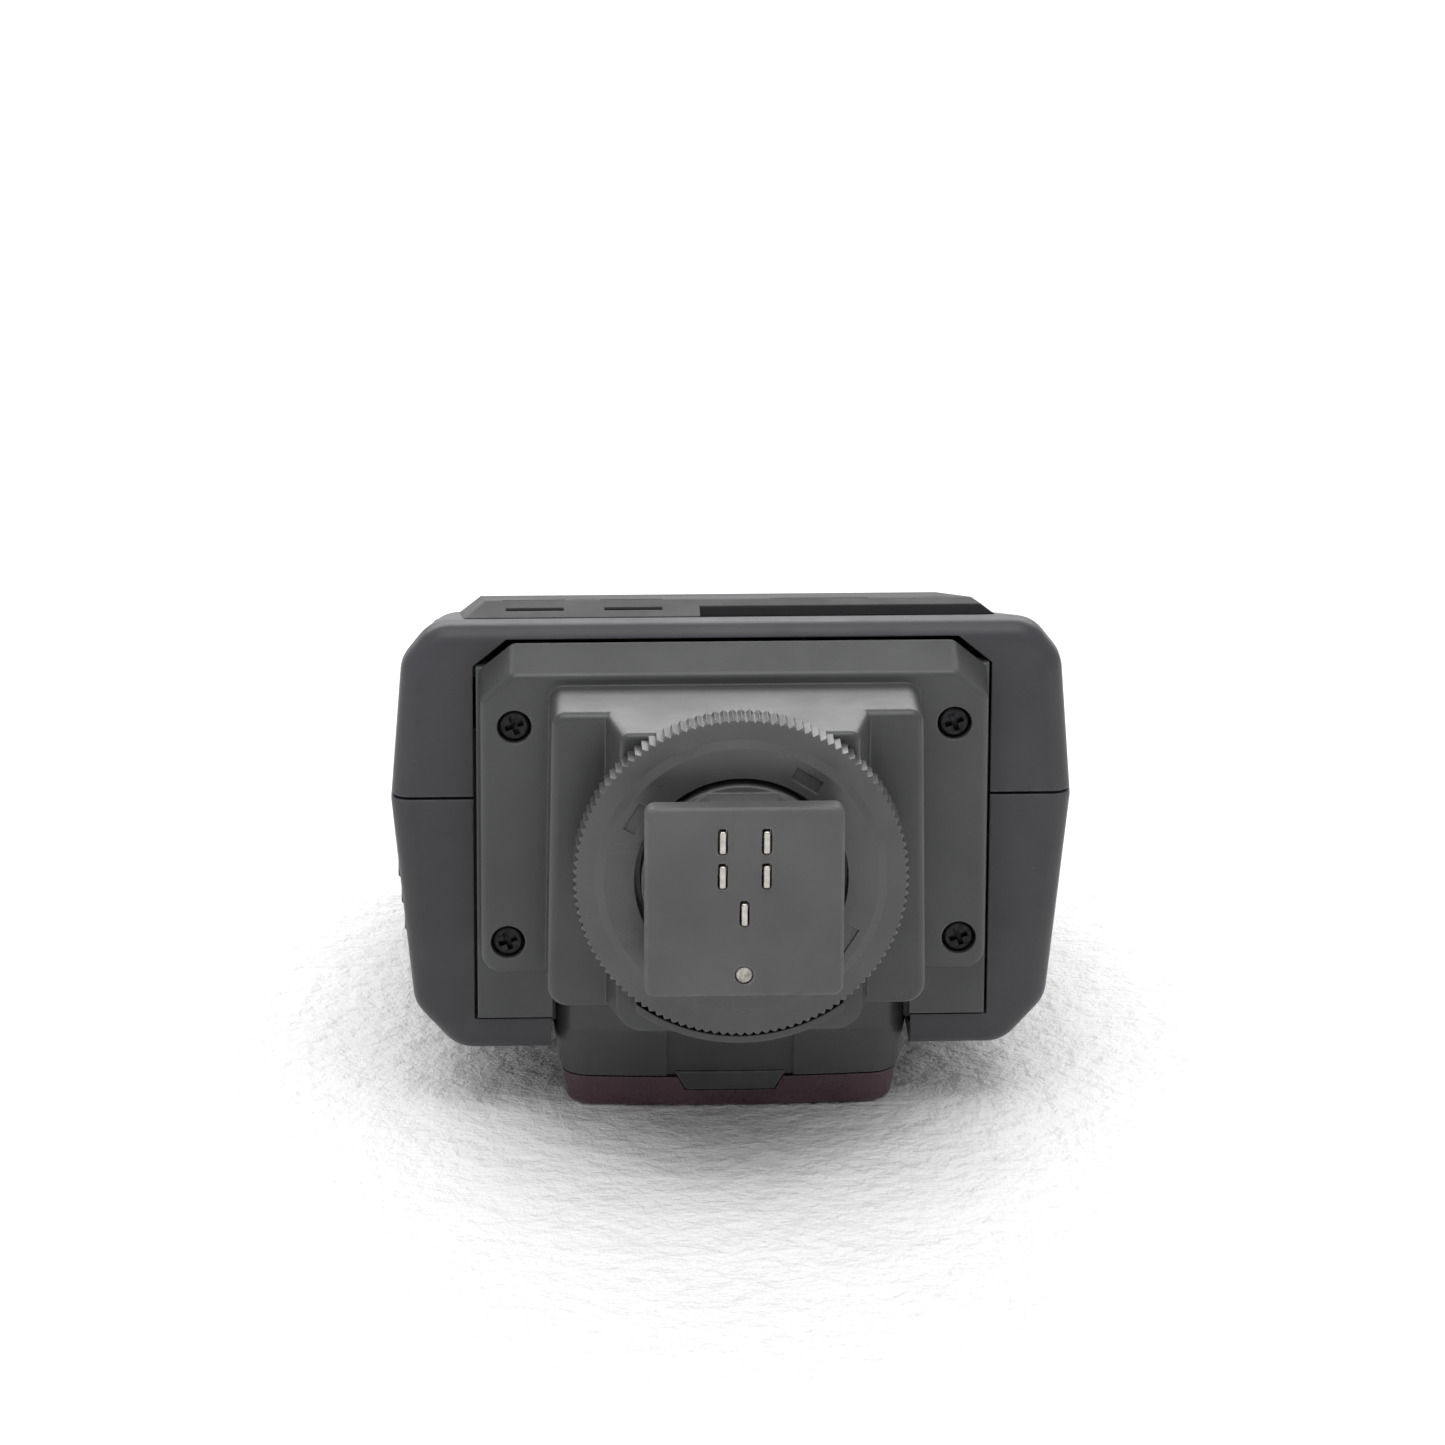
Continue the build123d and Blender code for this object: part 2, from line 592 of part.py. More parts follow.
# ---------------------------------------------------------------- foot base
def foot_base():
    """Moulded foot base: frame, step, ring pedestal and ring guard."""
    def frame_outline(grow):
        return mirror_outline([
            (FRAME_HALF_WIDTH - FRAME_CHAMFER[0], FRAME_REAR + grow),
            (FRAME_HALF_WIDTH, FRAME_REAR - FRAME_CHAMFER[1] + grow),
            (FRAME_HALF_WIDTH, FRAME_FRONT),
        ])

    frame = loft([face_at_depth(frame_outline(0), FRAME_FACE),
                  face_at_depth(frame_outline(FRAME_DRAFT), FRAME_SEAT)], ruled=True)
    corner_edges = frame.edges().filter_by(
        lambda e: e.center().Z < z_at(FRAME_FRONT) + 0.5 and abs(e.tangent_at(0.5).Y) > 0.9)
    frame = fillet(corner_edges, FRAME_CORNER)
    rear_edges = frame.edges().filter_by(
        lambda e: e.center().Z > z_at(FRAME_REAR - FRAME_CHAMFER[1] - 1) and abs(e.tangent_at(0.5).Y) > 0.8)
    frame = fillet(rear_edges, FRAME_REAR_CORNER)
    frame = fillet(frame.faces().sort_by(Axis.Y)[0].edges(), FRAME_EDGE_RADIUS)

    def step_outline(grow):
        return mirror_outline([(STEP_HALF_WIDTH - STEP_NARROWING, STEP_REAR + grow),
                               (STEP_HALF_WIDTH, STEP_FRONT)])

    step = loft([face_at_depth(step_outline(0), STEP_FACE),
                 face_at_depth(step_outline(STEP_DRAFT), FRAME_FACE + 1)], ruled=True)
    step_corners = step.edges().filter_by(
        lambda e: e.center().Z < z_at(STEP_FRONT) + 0.5 and abs(e.tangent_at(0.5).Y) > 0.9)
    step = fillet(step_corners, STEP_CORNER)
    step_rear = step.edges().filter_by(
        lambda e: e.center().Z > z_at(STEP_REAR) - 1 and abs(e.tangent_at(0.5).Y) > 0.9)
    step = fillet(step_rear, STEP_REAR_CORNER)
    step = fillet(step.faces().sort_by(Axis.Y)[0].edges(), STEP_EDGE_RADIUS)
    skirt = box((-STEP_HALF_WIDTH, STEP_HALF_WIDTH), (FRAME_FACE + 0.9, FRAME_SEAT),
                (STEP_FRONT, FRAME_FRONT + 1))

    draft = STEP_DRAFT / (FRAME_FACE + 1 - STEP_FACE)
    pedestal_end = STEP_FACE + 2

    def pedestal_outline(depth):
        half = PEDESTAL_HALF_WIDTH + PEDESTAL_FLARE * (depth - PEDESTAL_FACE) / (STEP_FACE - PEDESTAL_FACE)
        rear = STEP_REAR + draft * (depth - STEP_FACE)
        return face_at_depth(mirror_outline([(half, rear), (half, -GUARD_OUTER_RADIUS + 1.5)]), depth)

    pedestal = loft([pedestal_outline(PEDESTAL_FACE), pedestal_outline(pedestal_end)], ruled=True)
    pedestal_rear = pedestal.edges().filter_by(
        lambda e: e.center().Z > z_at(0) + 5 and abs(e.tangent_at(0.5).Y) > 0.8)
    pedestal = fillet(pedestal_rear, PEDESTAL_CORNER)
    pedestal = fillet(pedestal.faces().sort_by(Axis.Y)[0].edges(), PEDESTAL_EDGE_RADIUS)

    guard = box((-GUARD_HALF_WIDTH, GUARD_HALF_WIDTH), (GUARD_FACE, STEP_FACE + 1),
                (GUARD_FRONT, GUARD_START_HEIGHT))
    guard = fillet(guard.edges().filter_by(Axis.Y).group_by(Axis.Z)[0], GUARD_CORNER)
    lip = rod_y(0, 0, GUARD_OUTER_RADIUS, GUARD_LIP_FACE, STEP_FACE + 1)
    lip = lip & box((-GUARD_WINDOW_HALF_WIDTH, GUARD_WINDOW_HALF_WIDTH), (0, FAR), (-FAR, GUARD_START_HEIGHT))
    guard = guard + lip
    guard = guard - rod_y(0, 0, GUARD_INNER_RADIUS, 0, PEDESTAL_FACE)

    base = frame + step + skirt + pedestal + guard
    base = base - rod_y(0, 0, STEM_RADIUS + SEAT_GAP, 0, STEM_FLANGE_START + 1)
    cavity = box((-STEP_HALF_WIDTH + STEP_WALL, STEP_HALF_WIDTH - STEP_WALL),
                 (STEM_FLANGE_START, FRAME_SEAT + 1),
                 (STEP_FRONT + STEP_WALL, STEP_REAR - STEP_WALL))
    base = base - cavity
    for x, height in SCREW_PLACES:
        sink = SCREW_HEAD_DEPTH + SCREW_SINK
        base = base - rod_y(x, height, SCREW_HEAD_RADIUS + FIXED_GAP, FRAME_FACE - 1, FRAME_FACE + sink)
        base = base - rod_y(x, height, SCREW_SHANK_RADIUS + SEAT_GAP, FRAME_FACE, FRAME_SEAT + 1)
    for x, height in stem_screw_places():
        base = base - rod_y(x, height, STEM_SCREW_RADIUS + SEAT_GAP, STEP_FACE + STEM_SCREW_SKIN,
                            STEM_FLANGE_START + 1)
    return base


def foot_screws():
    """Cross-head screws that hold the foot base to the chassis."""
    screws = []
    for x, height in SCREW_PLACES:
        face = FRAME_FACE + SCREW_SINK
        head = rod_y(x, height, SCREW_HEAD_RADIUS, face, face + SCREW_HEAD_DEPTH)
        head = fillet(head.edges().sort_by(Axis.Y)[0], 0.35)
        shank = rod_y(x, height, SCREW_SHANK_RADIUS, face + 0.5, face + SCREW_LENGTH)
        screws.append(cross_recess(head + shank, x, height, face))
    return Compound(children=screws)


def cross_recess(screw, x, height, face):
    """Cut a cross drive into a screw head that faces the foot end."""
    for turn in (CROSS_TURN_DEG, CROSS_TURN_DEG + 90):
        place = Location((x, y_at(face), z_at(height)), (0, -turn, 0))
        screw = screw - place * Box(2 * CROSS_REACH, 2 * CROSS_SLOT_DEPTH, CROSS_SLOT_WIDTH)
    return screw


def stem_screw_places():
    radius = STEM_SCREW_CIRCLE
    angles = [math.radians(45 + 90 * index) for index in range(4)]
    return [(radius * math.cos(a), radius * math.sin(a)) for a in angles]


def stem_screws():
    """Screws that hold the stem's flange inside the foot base."""
    screws = []
    back = STEM_FLANGE_START + STEM_FLANGE_THICKNESS
    for x, height in stem_screw_places():
        head = rod_y(x, height, STEM_SCREW_HEAD_RADIUS, back + SEAT_GAP, back + STEM_SCREW_HEAD_THICKNESS)
        shank = rod_y(x, height, STEM_SCREW_RADIUS, STEP_FACE + STEM_SCREW_SKIN + 0.2, back + SEAT_GAP)
        screws.append(head + shank)
    return Compound(children=screws)


# ---------------------------------------------------------------- shoe foot
def contact_slot(x, height, clearance, depth_from, depth_to):
    """Round-ended slot or blade body along Y, long in height."""
    half = CONTACT_WIDTH / 2 + clearance
    reach = CONTACT_LENGTH / 2 + clearance
    bar = box((x - half, x + half), (depth_from, depth_to), (height - reach, height + reach))
    return fillet(bar.edges().filter_by(Axis.Y), half * 0.6)


def foot_plate():
    half = PLATE_WIDTH / 2
    plate = box((-half, half), (0, PLATE_THICKNESS), (-half, half))
    plate = fillet(plate.edges().filter_by(Axis.Y), PLATE_CORNER)
    plate = chamfer(plate.faces().sort_by(Axis.Y)[0].edges(), 0.2)
    for x, height in CONTACT_PLACES.values():
        plate = plate - contact_slot(x, height, CONTACT_CLEARANCE, -1, PLATE_THICKNESS + 1)
    return plate - rod_y(0, PIN_HEIGHT, PIN_RADIUS + PIN_CLEARANCE, -1, PLATE_THICKNESS + 1)


def foot_stem():
    """Neck between the shoe rails, ring stem and its mounting flange."""
    outline = mirror_outline([
        (NECK_TOP_HALF_WIDTH, NECK_HALF_LENGTH),
        (NECK_HALF_WIDTH, NECK_SHOULDER),
        (NECK_HALF_WIDTH, -NECK_SHOULDER),
        (NECK_TOP_HALF_WIDTH, -NECK_HALF_LENGTH),
    ])
    flange_end = STEM_FLANGE_START + STEM_FLANGE_THICKNESS
    stem = prism_y(outline, PLATE_THICKNESS, NECK_END + 0.5)
    stem = stem + rod_y(0, 0, STEM_RADIUS, NECK_END, STEM_FLANGE_START + 0.5)
    stem = stem + rod_y(0, 0, STEM_FLANGE_RADIUS, STEM_FLANGE_START, flange_end)
    stem = stem - box((-CAVITY_HALF_WIDTH, CAVITY_HALF_WIDTH), (0, flange_end + 1),
                      (CAVITY_FRONT, CAVITY_REAR))
    stem = stem - rod_y(0, PIN_HEIGHT, PIN_RADIUS + PIN_CLEARANCE, 0, flange_end + 1)
    stem = stem - rod_y(0, PIN_HEIGHT, PIN_CHANNEL_RADIUS, PIN_CHANNEL_START, flange_end + 1)
    for x, height in stem_screw_places():
        stem = stem - rod_y(x, height, STEM_SCREW_RADIUS + SEAT_GAP, STEP_FACE, flange_end + 1)
    return stem


def contact_carrier():
    """Insulating block that fills the stem's cavity behind the contacts."""
    gap = SEAT_GAP
    return box((-CAVITY_HALF_WIDTH + gap, CAVITY_HALF_WIDTH - gap),
               (CARRIER_FACE, CARRIER_FACE + CARRIER_LENGTH),
               (CAVITY_FRONT + gap, CAVITY_REAR - gap))


def contact_springs():
    """Leaf springs behind the contact blades."""
    leaves = []
    for x, height in CONTACT_PLACES.values():
        leaves.append(box((x - LEAF_WIDTH / 2, x + LEAF_WIDTH / 2),
                          (CARRIER_FACE - LEAF_THICKNESS, CARRIER_FACE),
                          (height - LEAF_LENGTH / 2, height + LEAF_LENGTH / 2)))
    return Compound(children=leaves)


def contact_pin(x, height):
    """Spring-loaded contact blade with a retaining shoulder behind the plate."""
    back = PLATE_THICKNESS + MOVING_GAP + SHOULDER_THICKNESS
    blade = contact_slot(x, height, 0, -CONTACT_RISE, back)
    nose = blade.faces().sort_by(Axis.Y)[0].edges()
    blade = fillet(nose, CONTACT_WIDTH * 0.3)
    half = CONTACT_WIDTH / 2 + CONTACT_SHOULDER
    reach = CONTACT_LENGTH / 2 + CONTACT_SHOULDER
    shoulder = box((x - half, x + half), (PLATE_THICKNESS + MOVING_GAP, back),
                   (height - reach, height + reach))
    return blade + shoulder


def lock_pin():
    """Locking pin: flush with the plate at rest, pushed out as the ring is tightened."""
    spring_end = PIN_CHANNEL_START + PIN_SPRING_LENGTH
    pin = rod_y(0, PIN_HEIGHT, PIN_RADIUS, 0.05, spring_end + PIN_HEAD_THICKNESS)
    pin = chamfer(pin.edges().sort_by(Axis.Y)[0], 0.12)
    return pin + rod_y(0, PIN_HEIGHT, PIN_HEAD_RADIUS, spring_end, spring_end + PIN_HEAD_THICKNESS)


def lock_pin_guide():
    """Plug that closes the pin's channel in the stem."""
    start = PIN_CHANNEL_START + PIN_SPRING_LENGTH + PIN_HEAD_THICKNESS + MOVING_GAP
    end = STEM_FLANGE_START + STEM_FLANGE_THICKNESS
    return rod_y(0, PIN_HEIGHT, PIN_CHANNEL_RADIUS - SEAT_GAP, start, end)


def knurl_outline():
    """Outer line of the ring: pointed teeth all round."""
    points = []
    for index in range(2 * TOOTH_COUNT):
        radius = RING_RADIUS - TOOTH_DEPTH * (index % 2)
        angle = math.pi * index / TOOTH_COUNT
        points.append((radius * math.cos(angle), radius * math.sin(angle)))
    return points


def lock_ring():
    """Knurled ring that screws down on the shoe."""
    flange = prism_y(knurl_outline(), FLANGE_FACE, FLANGE_BACK)
    edge_guard = rod_y(0, 0, RING_RADIUS, FLANGE_FACE, FLANGE_BACK)
    flange = flange & chamfer(edge_guard.edges(), RING_EDGE_CHAMFER)
    raised = rod_y(0, 0, RAISED_RADIUS, RING_FACE, FLANGE_FACE + 0.5)
    raised = chamfer(raised.edges().sort_by(Axis.Y)[0], FLANGE_FACE - RING_FACE, RAISED_BEVEL)
    ring = flange + raised
    ring = ring - rod_y(0, 0, RING_HOLE_RADIUS, 0, RING_FACE + RING_THREAD_DEPTH)
    ring = ring - rod_y(0, 0, STEM_RADIUS + RUNNING_FIT, 0, 30)
    recess_face = FLANGE_BACK - WASHER_THICKNESS - MOVING_GAP - 0.1
    ring = ring - rod_y(0, 0, WASHER_RADIUS + MOVING_GAP, recess_face, 30)
    length, width, sink = RING_MARK
    middle_radius = (RING_HOLE_RADIUS + RAISED_RADIUS - RAISED_BEVEL) / 2
    for angle in RING_MARK_ANGLES:
        where = Location((0, y_at(RING_FACE), z_at(0)), (0, -angle, 0)) * Pos(middle_radius, 0, 0)
        ring = ring - where * Box(width, 2 * sink, length)
    return ring


def ring_washer():
    """Slip washer between the ring and the pedestal; it moves with the ring but doesn't turn."""
    washer = rod_y(0, 0, WASHER_RADIUS, FLANGE_BACK - WASHER_THICKNESS - 0.05, FLANGE_BACK - 0.05)
    return washer - rod_y(0, 0, STEM_RADIUS + RUNNING_FIT, 0, 30)


# ---------------------------------------------------------------- autofocus lamp
def af_plan(inset, height):
    """Rounded plan of the lamp column at one height, with a bulging foot-end face."""
    half = AF_HALF_WIDTH - inset
    start = AF_FACE + inset
    z = z_at(height)
    corner_y = y_at(start + AF_BULGE)
    front = ThreePointArc((-half, corner_y, z), (0, y_at(start), z), (half, corner_y, z))
    right = Line((half, corner_y, z), (half, y_at(AF_BACK - inset), z))
    back = Line((half, y_at(AF_BACK - inset), z), (-half, y_at(AF_BACK - inset), z))
    left = Line((-half, y_at(AF_BACK - inset), z), (-half, corner_y, z))
    return make_face([front, right, back, left])


def af_column(inset, height_from=REST_HEIGHT, height_to=AF_ROOF):
    """Stretch of the lamp column, which narrows toward the table."""
    whole = extrude(af_plan(inset, AF_ROOF), amount=AF_ROOF - REST_HEIGHT, dir=(0, 0, -1), taper=AF_TAPER_DEG)
    upright = whole.edges().filter_by(lambda e: abs(e.tangent_at(0.5).Z) > 0.8).group_by(Axis.Y)
    whole = fillet([edge for group in upright[:-1] for edge in group if edge.center().Y < y_at(AF_FACE + 5)],
                   AF_CORNER - inset)
    return whole & box((-60, 60), (0, 100), (height_from, height_to))


def af_bridge(gap):
    """Tongue of the housing that crosses the middle of the red window."""
    top = AF_SEAM + 0.5
    bottom = AF_SEAM - AF_BRIDGE_HEIGHT - gap
    outline = mirror_outline([
        (AF_BRIDGE_TOP_HALF_WIDTH + gap, top),
        (AF_BRIDGE_BOTTOM_HALF_WIDTH + gap, bottom),
    ])
    return prism_y(outline, AF_FACE, AF_FACE + AF_BRIDGE_THICKNESS + gap)


def af_housing():
    """Shell of the autofocus lamp, below the foot base."""
    lower = af_column(0, AF_SEAM, AF_ROOF)
    upright = extrude(af_plan(0, AF_ROOF - 0.01), amount=STEP_FRONT - FIXED_GAP - AF_ROOF, dir=(0, 0, 1))
    upright = fillet(upright.edges().filter_by(Axis.Z).group_by(Axis.Y)[0], AF_CORNER)
    upright = upright & box((-40, 40), (0, TRAY_START), (-60, 60))
    room = af_column(AF_WALL, AF_SEAM - 1, AF_ROOF - AF_WALL)
    bridge = af_bridge(0) & af_column(0)
    recess_reach = box((-AF_RECESS_HALF_WIDTH, AF_RECESS_HALF_WIDTH), (0, AF_FACE + AF_WALL + AF_BULGE),
                       (-FAR, FAR))
    recess = (af_column(0, AF_SEAM) - af_column(AF_RECESS, AF_SEAM)) & recess_reach
    return lower + upright - room - recess + bridge


def af_window():
    """Dark red window of the autofocus lamp."""
    block = af_column(0, REST_HEIGHT, AF_SEAM - AF_SEAM_GAP)
    block = fillet(block.faces().sort_by(Axis.Z)[0].edges(), AF_EDGE_RADIUS)
    room = af_column(AF_WALL, REST_HEIGHT + AF_FLOOR, AF_SEAM + 1)
    return block - room - af_bridge(0.1)


def af_lamp():
    """Light-emitting diode of the autofocus lamp on its little board."""
    middle = (AF_FACE + AF_BACK) / 2
    roof = AF_ROOF - AF_WALL
    width, length, thickness = AF_BOARD
    board = box((-width / 2, width / 2), (middle - length / 2, middle + length / 2), (roof - thickness, roof))
    bulb = rod_z(0, middle, AF_LED_RADIUS, roof - thickness - AF_LED_HEIGHT, roof - thickness)
    return board + bulb


# ---------------------------------------------------------------- chassis and battery bay
def inner_chassis():
    """Battery tray, head shelf and hinge ears in one moulding."""
    tray = box((-TRAY_HALF_WIDTH, TRAY_HALF_WIDTH), (TRAY_START, TRAY_END), (TRAY_FRONT, TRAY_REAR))
    inner = TRAY_INNER_HALF_WIDTH
    tray = tray - box((-inner, inner), (TRAY_INNER_START, TRAY_INNER_END), (-FAR, TRAY_INNER_REAR))
    shelf = box((-SHELF_HALF_WIDTH, SHELF_HALF_WIDTH), (TRAY_END - 0.5, SHELF_END), (SHELF_HEIGHT, SHELF_TOP))
    chassis = tray + shelf
    seat_width, seat_front, seat_rear = BASE_SEAT
    seat = box((-seat_width / 2, seat_width / 2), (FRAME_SEAT + BASE_PLATE_THICKNESS, TRAY_START + 0.5),
               (seat_front, seat_rear))
    chassis = chassis & case_solid(CASE_WALL + MOVING_GAP, CASE_START, HEAD_END - CASE_WALL)
    chassis = chassis + seat
    ear_end = KNUCKLE_START - MOVING_GAP
    ear = rod_x(HINGE_DEPTH, HINGE_HEIGHT, KNUCKLE_RADIUS - 0.05, ear_end - EAR_LENGTH, ear_end)
    web = box((ear_end - EAR_LENGTH, ear_end), (TRAY_END - 0.5, HINGE_DEPTH + 1.2),
              (HINGE_HEIGHT, HINGE_HEIGHT + EAR_WEB_HEIGHT))
    below_barrel = box((-FAR, FAR), (TRAY_INNER_END - 0.1, BEZEL_START), (-FAR, HINGE_HEIGHT))
    chassis = chassis - hinge_sweep() - below_barrel + both_sides(ear + web)
    bore = rod_x(HINGE_DEPTH, HINGE_HEIGHT, HINGE_PIN_RADIUS + SEAT_GAP, ear_end - EAR_LENGTH - 1,
                 ear_end + 1)
    chassis = chassis - both_sides(bore)
    for side in (-1, 1):
        chassis = chassis - rod_z(side * BOSS_X, BOSS_DEPTH, SCREW_SHANK_RADIUS + SEAT_GAP,
                                  SHELF_HEIGHT - 1, SHELF_TOP + 1)
    for x, height in SCREW_PLACES:
        chassis = chassis - rod_y(x, height, SCREW_SHANK_RADIUS + SEAT_GAP, FRAME_SEAT, TRAY_INNER_START)
    return chassis


def base_plate():
    """Plate under the foot base; two of its tabs show beside the lamp column."""
    half = BASE_PLATE_HALF_WIDTH
    end = FRAME_SEAT + BASE_PLATE_THICKNESS
    plate = box((-half, half), (FRAME_SEAT, end), (BASE_PLATE_FRONT, BASE_PLATE_REAR))
    af_half = AF_HALF_WIDTH + FIXED_GAP
    plate = plate - box((-af_half, af_half), (0, FAR), (-FAR, STEP_FRONT))
    width, height_span = BASE_PLATE_WINDOW
    plate = plate - box((-width / 2, width / 2), (0, FAR), (-height_span / 2, height_span / 2))
    for x, height in SCREW_PLACES:
        plate = plate - rod_y(x, height, SCREW_SHANK_RADIUS + SEAT_GAP, 0, FAR)
    return plate


def battery_cells():
    cells = []
    for row, depth in enumerate(CELL_DEPTHS):
        for layer, height in enumerate(CELL_HEIGHTS):
            way = 1 if (row + layer) % 2 == 0 else -1
            half = CELL_LENGTH / 2
            body_end = half - CELL_NUB_LENGTH
            span = sorted((-way * half, way * body_end))
            can = rod_x(depth, height, CELL_RADIUS, span[0], span[1])
            can = fillet(can.edges(), CELL_EDGE_RADIUS)
            nub_span = sorted((way * (body_end - 0.5), way * half))
            cells.append(can + rod_x(depth, height, CELL_NUB_RADIUS, nub_span[0], nub_span[1]))
    return cells


def battery_contacts():
    """Sprung contact cones at the flat ends, plates at the nub ends."""
    cones = []
    plates = []
    wall = TRAY_INNER_HALF_WIDTH
    half = CELL_LENGTH / 2
    for row, depth in enumerate(CELL_DEPTHS):
        for layer, height in enumerate(CELL_HEIGHTS):
            way = 1 if (row + layer) % 2 == 0 else -1
            place = Location((-way * (half + wall) / 2, y_at(depth), z_at(height)), (0, 90 * way, 0))
            cones.append(place * Cone(*CONE_RADII, wall - half - 2 * SEAT_GAP))
            reach = CELL_RADIUS - CONTACT_PLATE_INSET
            back_span = sorted((way * (wall - CONTACT_PLATE_THICKNESS), way * wall))
            back = box(back_span, (depth - reach, depth + reach), (height - reach, height + reach))
            dimple_span = sorted((way * (half + SEAT_GAP), way * (wall - CONTACT_PLATE_THICKNESS / 2)))
            dimple = rod_x(depth, height, CONTACT_DIMPLE_RADIUS, *dimple_span)
            plates.append(back + dimple)
    return Compound(children=cones), Compound(children=plates)


def hinge_pin():
    """One steel pin through both hinge pairs of the cover."""
    end = KNUCKLE_START + KNUCKLE_LENGTH
    start = KNUCKLE_START - MOVING_GAP - EAR_LENGTH
    end = end - MOVING_GAP
    pins = [rod_x(HINGE_DEPTH, HINGE_HEIGHT, HINGE_PIN_RADIUS, *sorted((side * start, side * end)))
            for side in (-1, 1)]
    return Compound(children=pins)


def case_screws():
    screws = []
    for side in (-1, 1):
        head = rod_z(side * BOSS_X, BOSS_DEPTH, SCREW_HEAD_RADIUS, SHELF_HEIGHT - SCREW_HEAD_DEPTH - 0.1,
                     SHELF_HEIGHT - SEAT_GAP)
        shank = rod_z(side * BOSS_X, BOSS_DEPTH, SCREW_SHANK_RADIUS - SEAT_GAP, SHELF_HEIGHT - 1,
                      SHELF_TOP + CASE_SCREW_LENGTH)
        screws.append(head + shank)
    return Compound(children=screws)


# ---------------------------------------------------------------- flash head internals
def flash_window():
    half = WINDOW_HALF_WIDTH
    pane = box((-half, half), (WINDOW_START, WINDOW_END), (WINDOW_OUTER, WINDOW_INNER - SEAT_GAP))
    pane = fillet(pane.edges().filter_by(Axis.Z), WINDOW_CORNER)
    return fillet(pane.faces().sort_by(Axis.Z)[0].edges(), WINDOW_EDGE_RADIUS)


def reflector_solid(grow):
    """Trough that narrows toward the tube."""
    mouth = WINDOW_INNER + 0.1
    back = WINDOW_INNER + REFLECTOR_DEPTH
    wide = WINDOW_HALF_WIDTH - WINDOW_LEDGE - REFLECTOR_MARGIN
    span = (WINDOW_END - WINDOW_START) / 2 - WINDOW_LEDGE - REFLECTOR_MARGIN

    def rectangle(half_x, half_y, height):
        corners = [(-half_x, -half_y), (half_x, -half_y), (half_x, half_y), (-half_x, half_y)]
        points = [(x, y_at(TUBE_DEPTH) + y, z_at(height)) for x, y in corners]
        return make_face(Polyline(*points, close=True))

    return loft([rectangle(wide + grow, span + grow, mouth),
                 rectangle(REFLECTOR_BACK_HALF_WIDTH + grow, REFLECTOR_BACK_SPAN / 2 + grow,
                           back + grow)], ruled=True)


def reflector():
    inner = reflector_solid(0)
    outer = reflector_solid(REFLECTOR_WALL)
    bowl = outer - inner
    return bowl - rod_x(TUBE_DEPTH, TUBE_HEIGHT, TUBE_RADIUS + 0.1, -FAR, FAR)


def flash_tube():
    return rod_x(TUBE_DEPTH, TUBE_HEIGHT, TUBE_RADIUS, -TUBE_HALF_LENGTH, TUBE_HALF_LENGTH)


def tube_caps():
    """Rubber sleeves that hold the tube's ends."""
    caps = []
    for side in (-1, 1):
        start = TUBE_HALF_LENGTH - TUBE_CAP_LAP
        span = sorted((side * start, side * (start + TUBE_CAP_LENGTH)))
        cap = rod_x(TUBE_DEPTH, TUBE_HEIGHT, TUBE_CAP_RADIUS, *span)
        strap_half = TUBE_STRAP_WIDTH / 2
        strap = box(span, (TUBE_DEPTH - strap_half, TUBE_DEPTH + strap_half), (TUBE_HEIGHT, SHELF_HEIGHT))
        hole_span = sorted((0, side * (TUBE_HALF_LENGTH + SEAT_GAP)))
        hole = rod_x(TUBE_DEPTH, TUBE_HEIGHT, TUBE_RADIUS + SEAT_GAP, *hole_span)
        caps.append(cap + strap - hole)
    return Compound(children=caps)


def main_capacitor():
    height = SHELF_TOP + CAPACITOR_RADIUS
    start = CAPACITOR_CENTRE_X - CAPACITOR_LENGTH / 2
    can = rod_x(CAPACITOR_DEPTH, height, CAPACITOR_RADIUS, start, start + CAPACITOR_LENGTH)
    return fillet(can.edges(), CAPACITOR_EDGE_RADIUS)


def main_board():
    """Power board above the shelf."""
    return box(MAIN_BOARD_X, (MAIN_BOARD_START, MAIN_BOARD_END), (MAIN_BOARD_BACK, MAIN_BOARD_TOP))


def board_posts():
    """Spacers between the shelf and the main board."""
    posts = []
    for x in (MAIN_BOARD_X[0] + POST_INSET, MAIN_BOARD_X[1] - POST_INSET):
        for depth in (MAIN_BOARD_START + POST_INSET, MAIN_BOARD_END - POST_INSET):
            posts.append(rod_z(x, depth, POST_RADIUS, SHELF_TOP, MAIN_BOARD_BACK))
    return Compound(children=posts)


def transformer():
    """Step-up transformer on the main board."""
    width, length, height = TRANSFORMER_SIZE
    x, offset = TRANSFORMER_PLACE
    depth = MAIN_BOARD_START + offset
    core = box((x - width / 2, x + width / 2), (depth - length / 2, depth + length / 2),
               (MAIN_BOARD_TOP, MAIN_BOARD_TOP + height))
    return fillet(core.edges().filter_by(Axis.Z), TRANSFORMER_CORNER)


def trigger_coil():
    """Trigger coil on its bobbin."""
    x, offset = COIL_PLACE
    depth = MAIN_BOARD_END - offset
    height = MAIN_BOARD_TOP + COIL_FLANGE_RADIUS
    half = COIL_LENGTH / 2
    coil = rod_x(depth, height, COIL_RADIUS, x - half, x + half)
    for side in (-1, 1):
        span = sorted((x + side * (half - COIL_FLANGE_WIDTH), x + side * half))
        coil = coil + rod_x(depth, height, COIL_FLANGE_RADIUS, *span)
    return coil


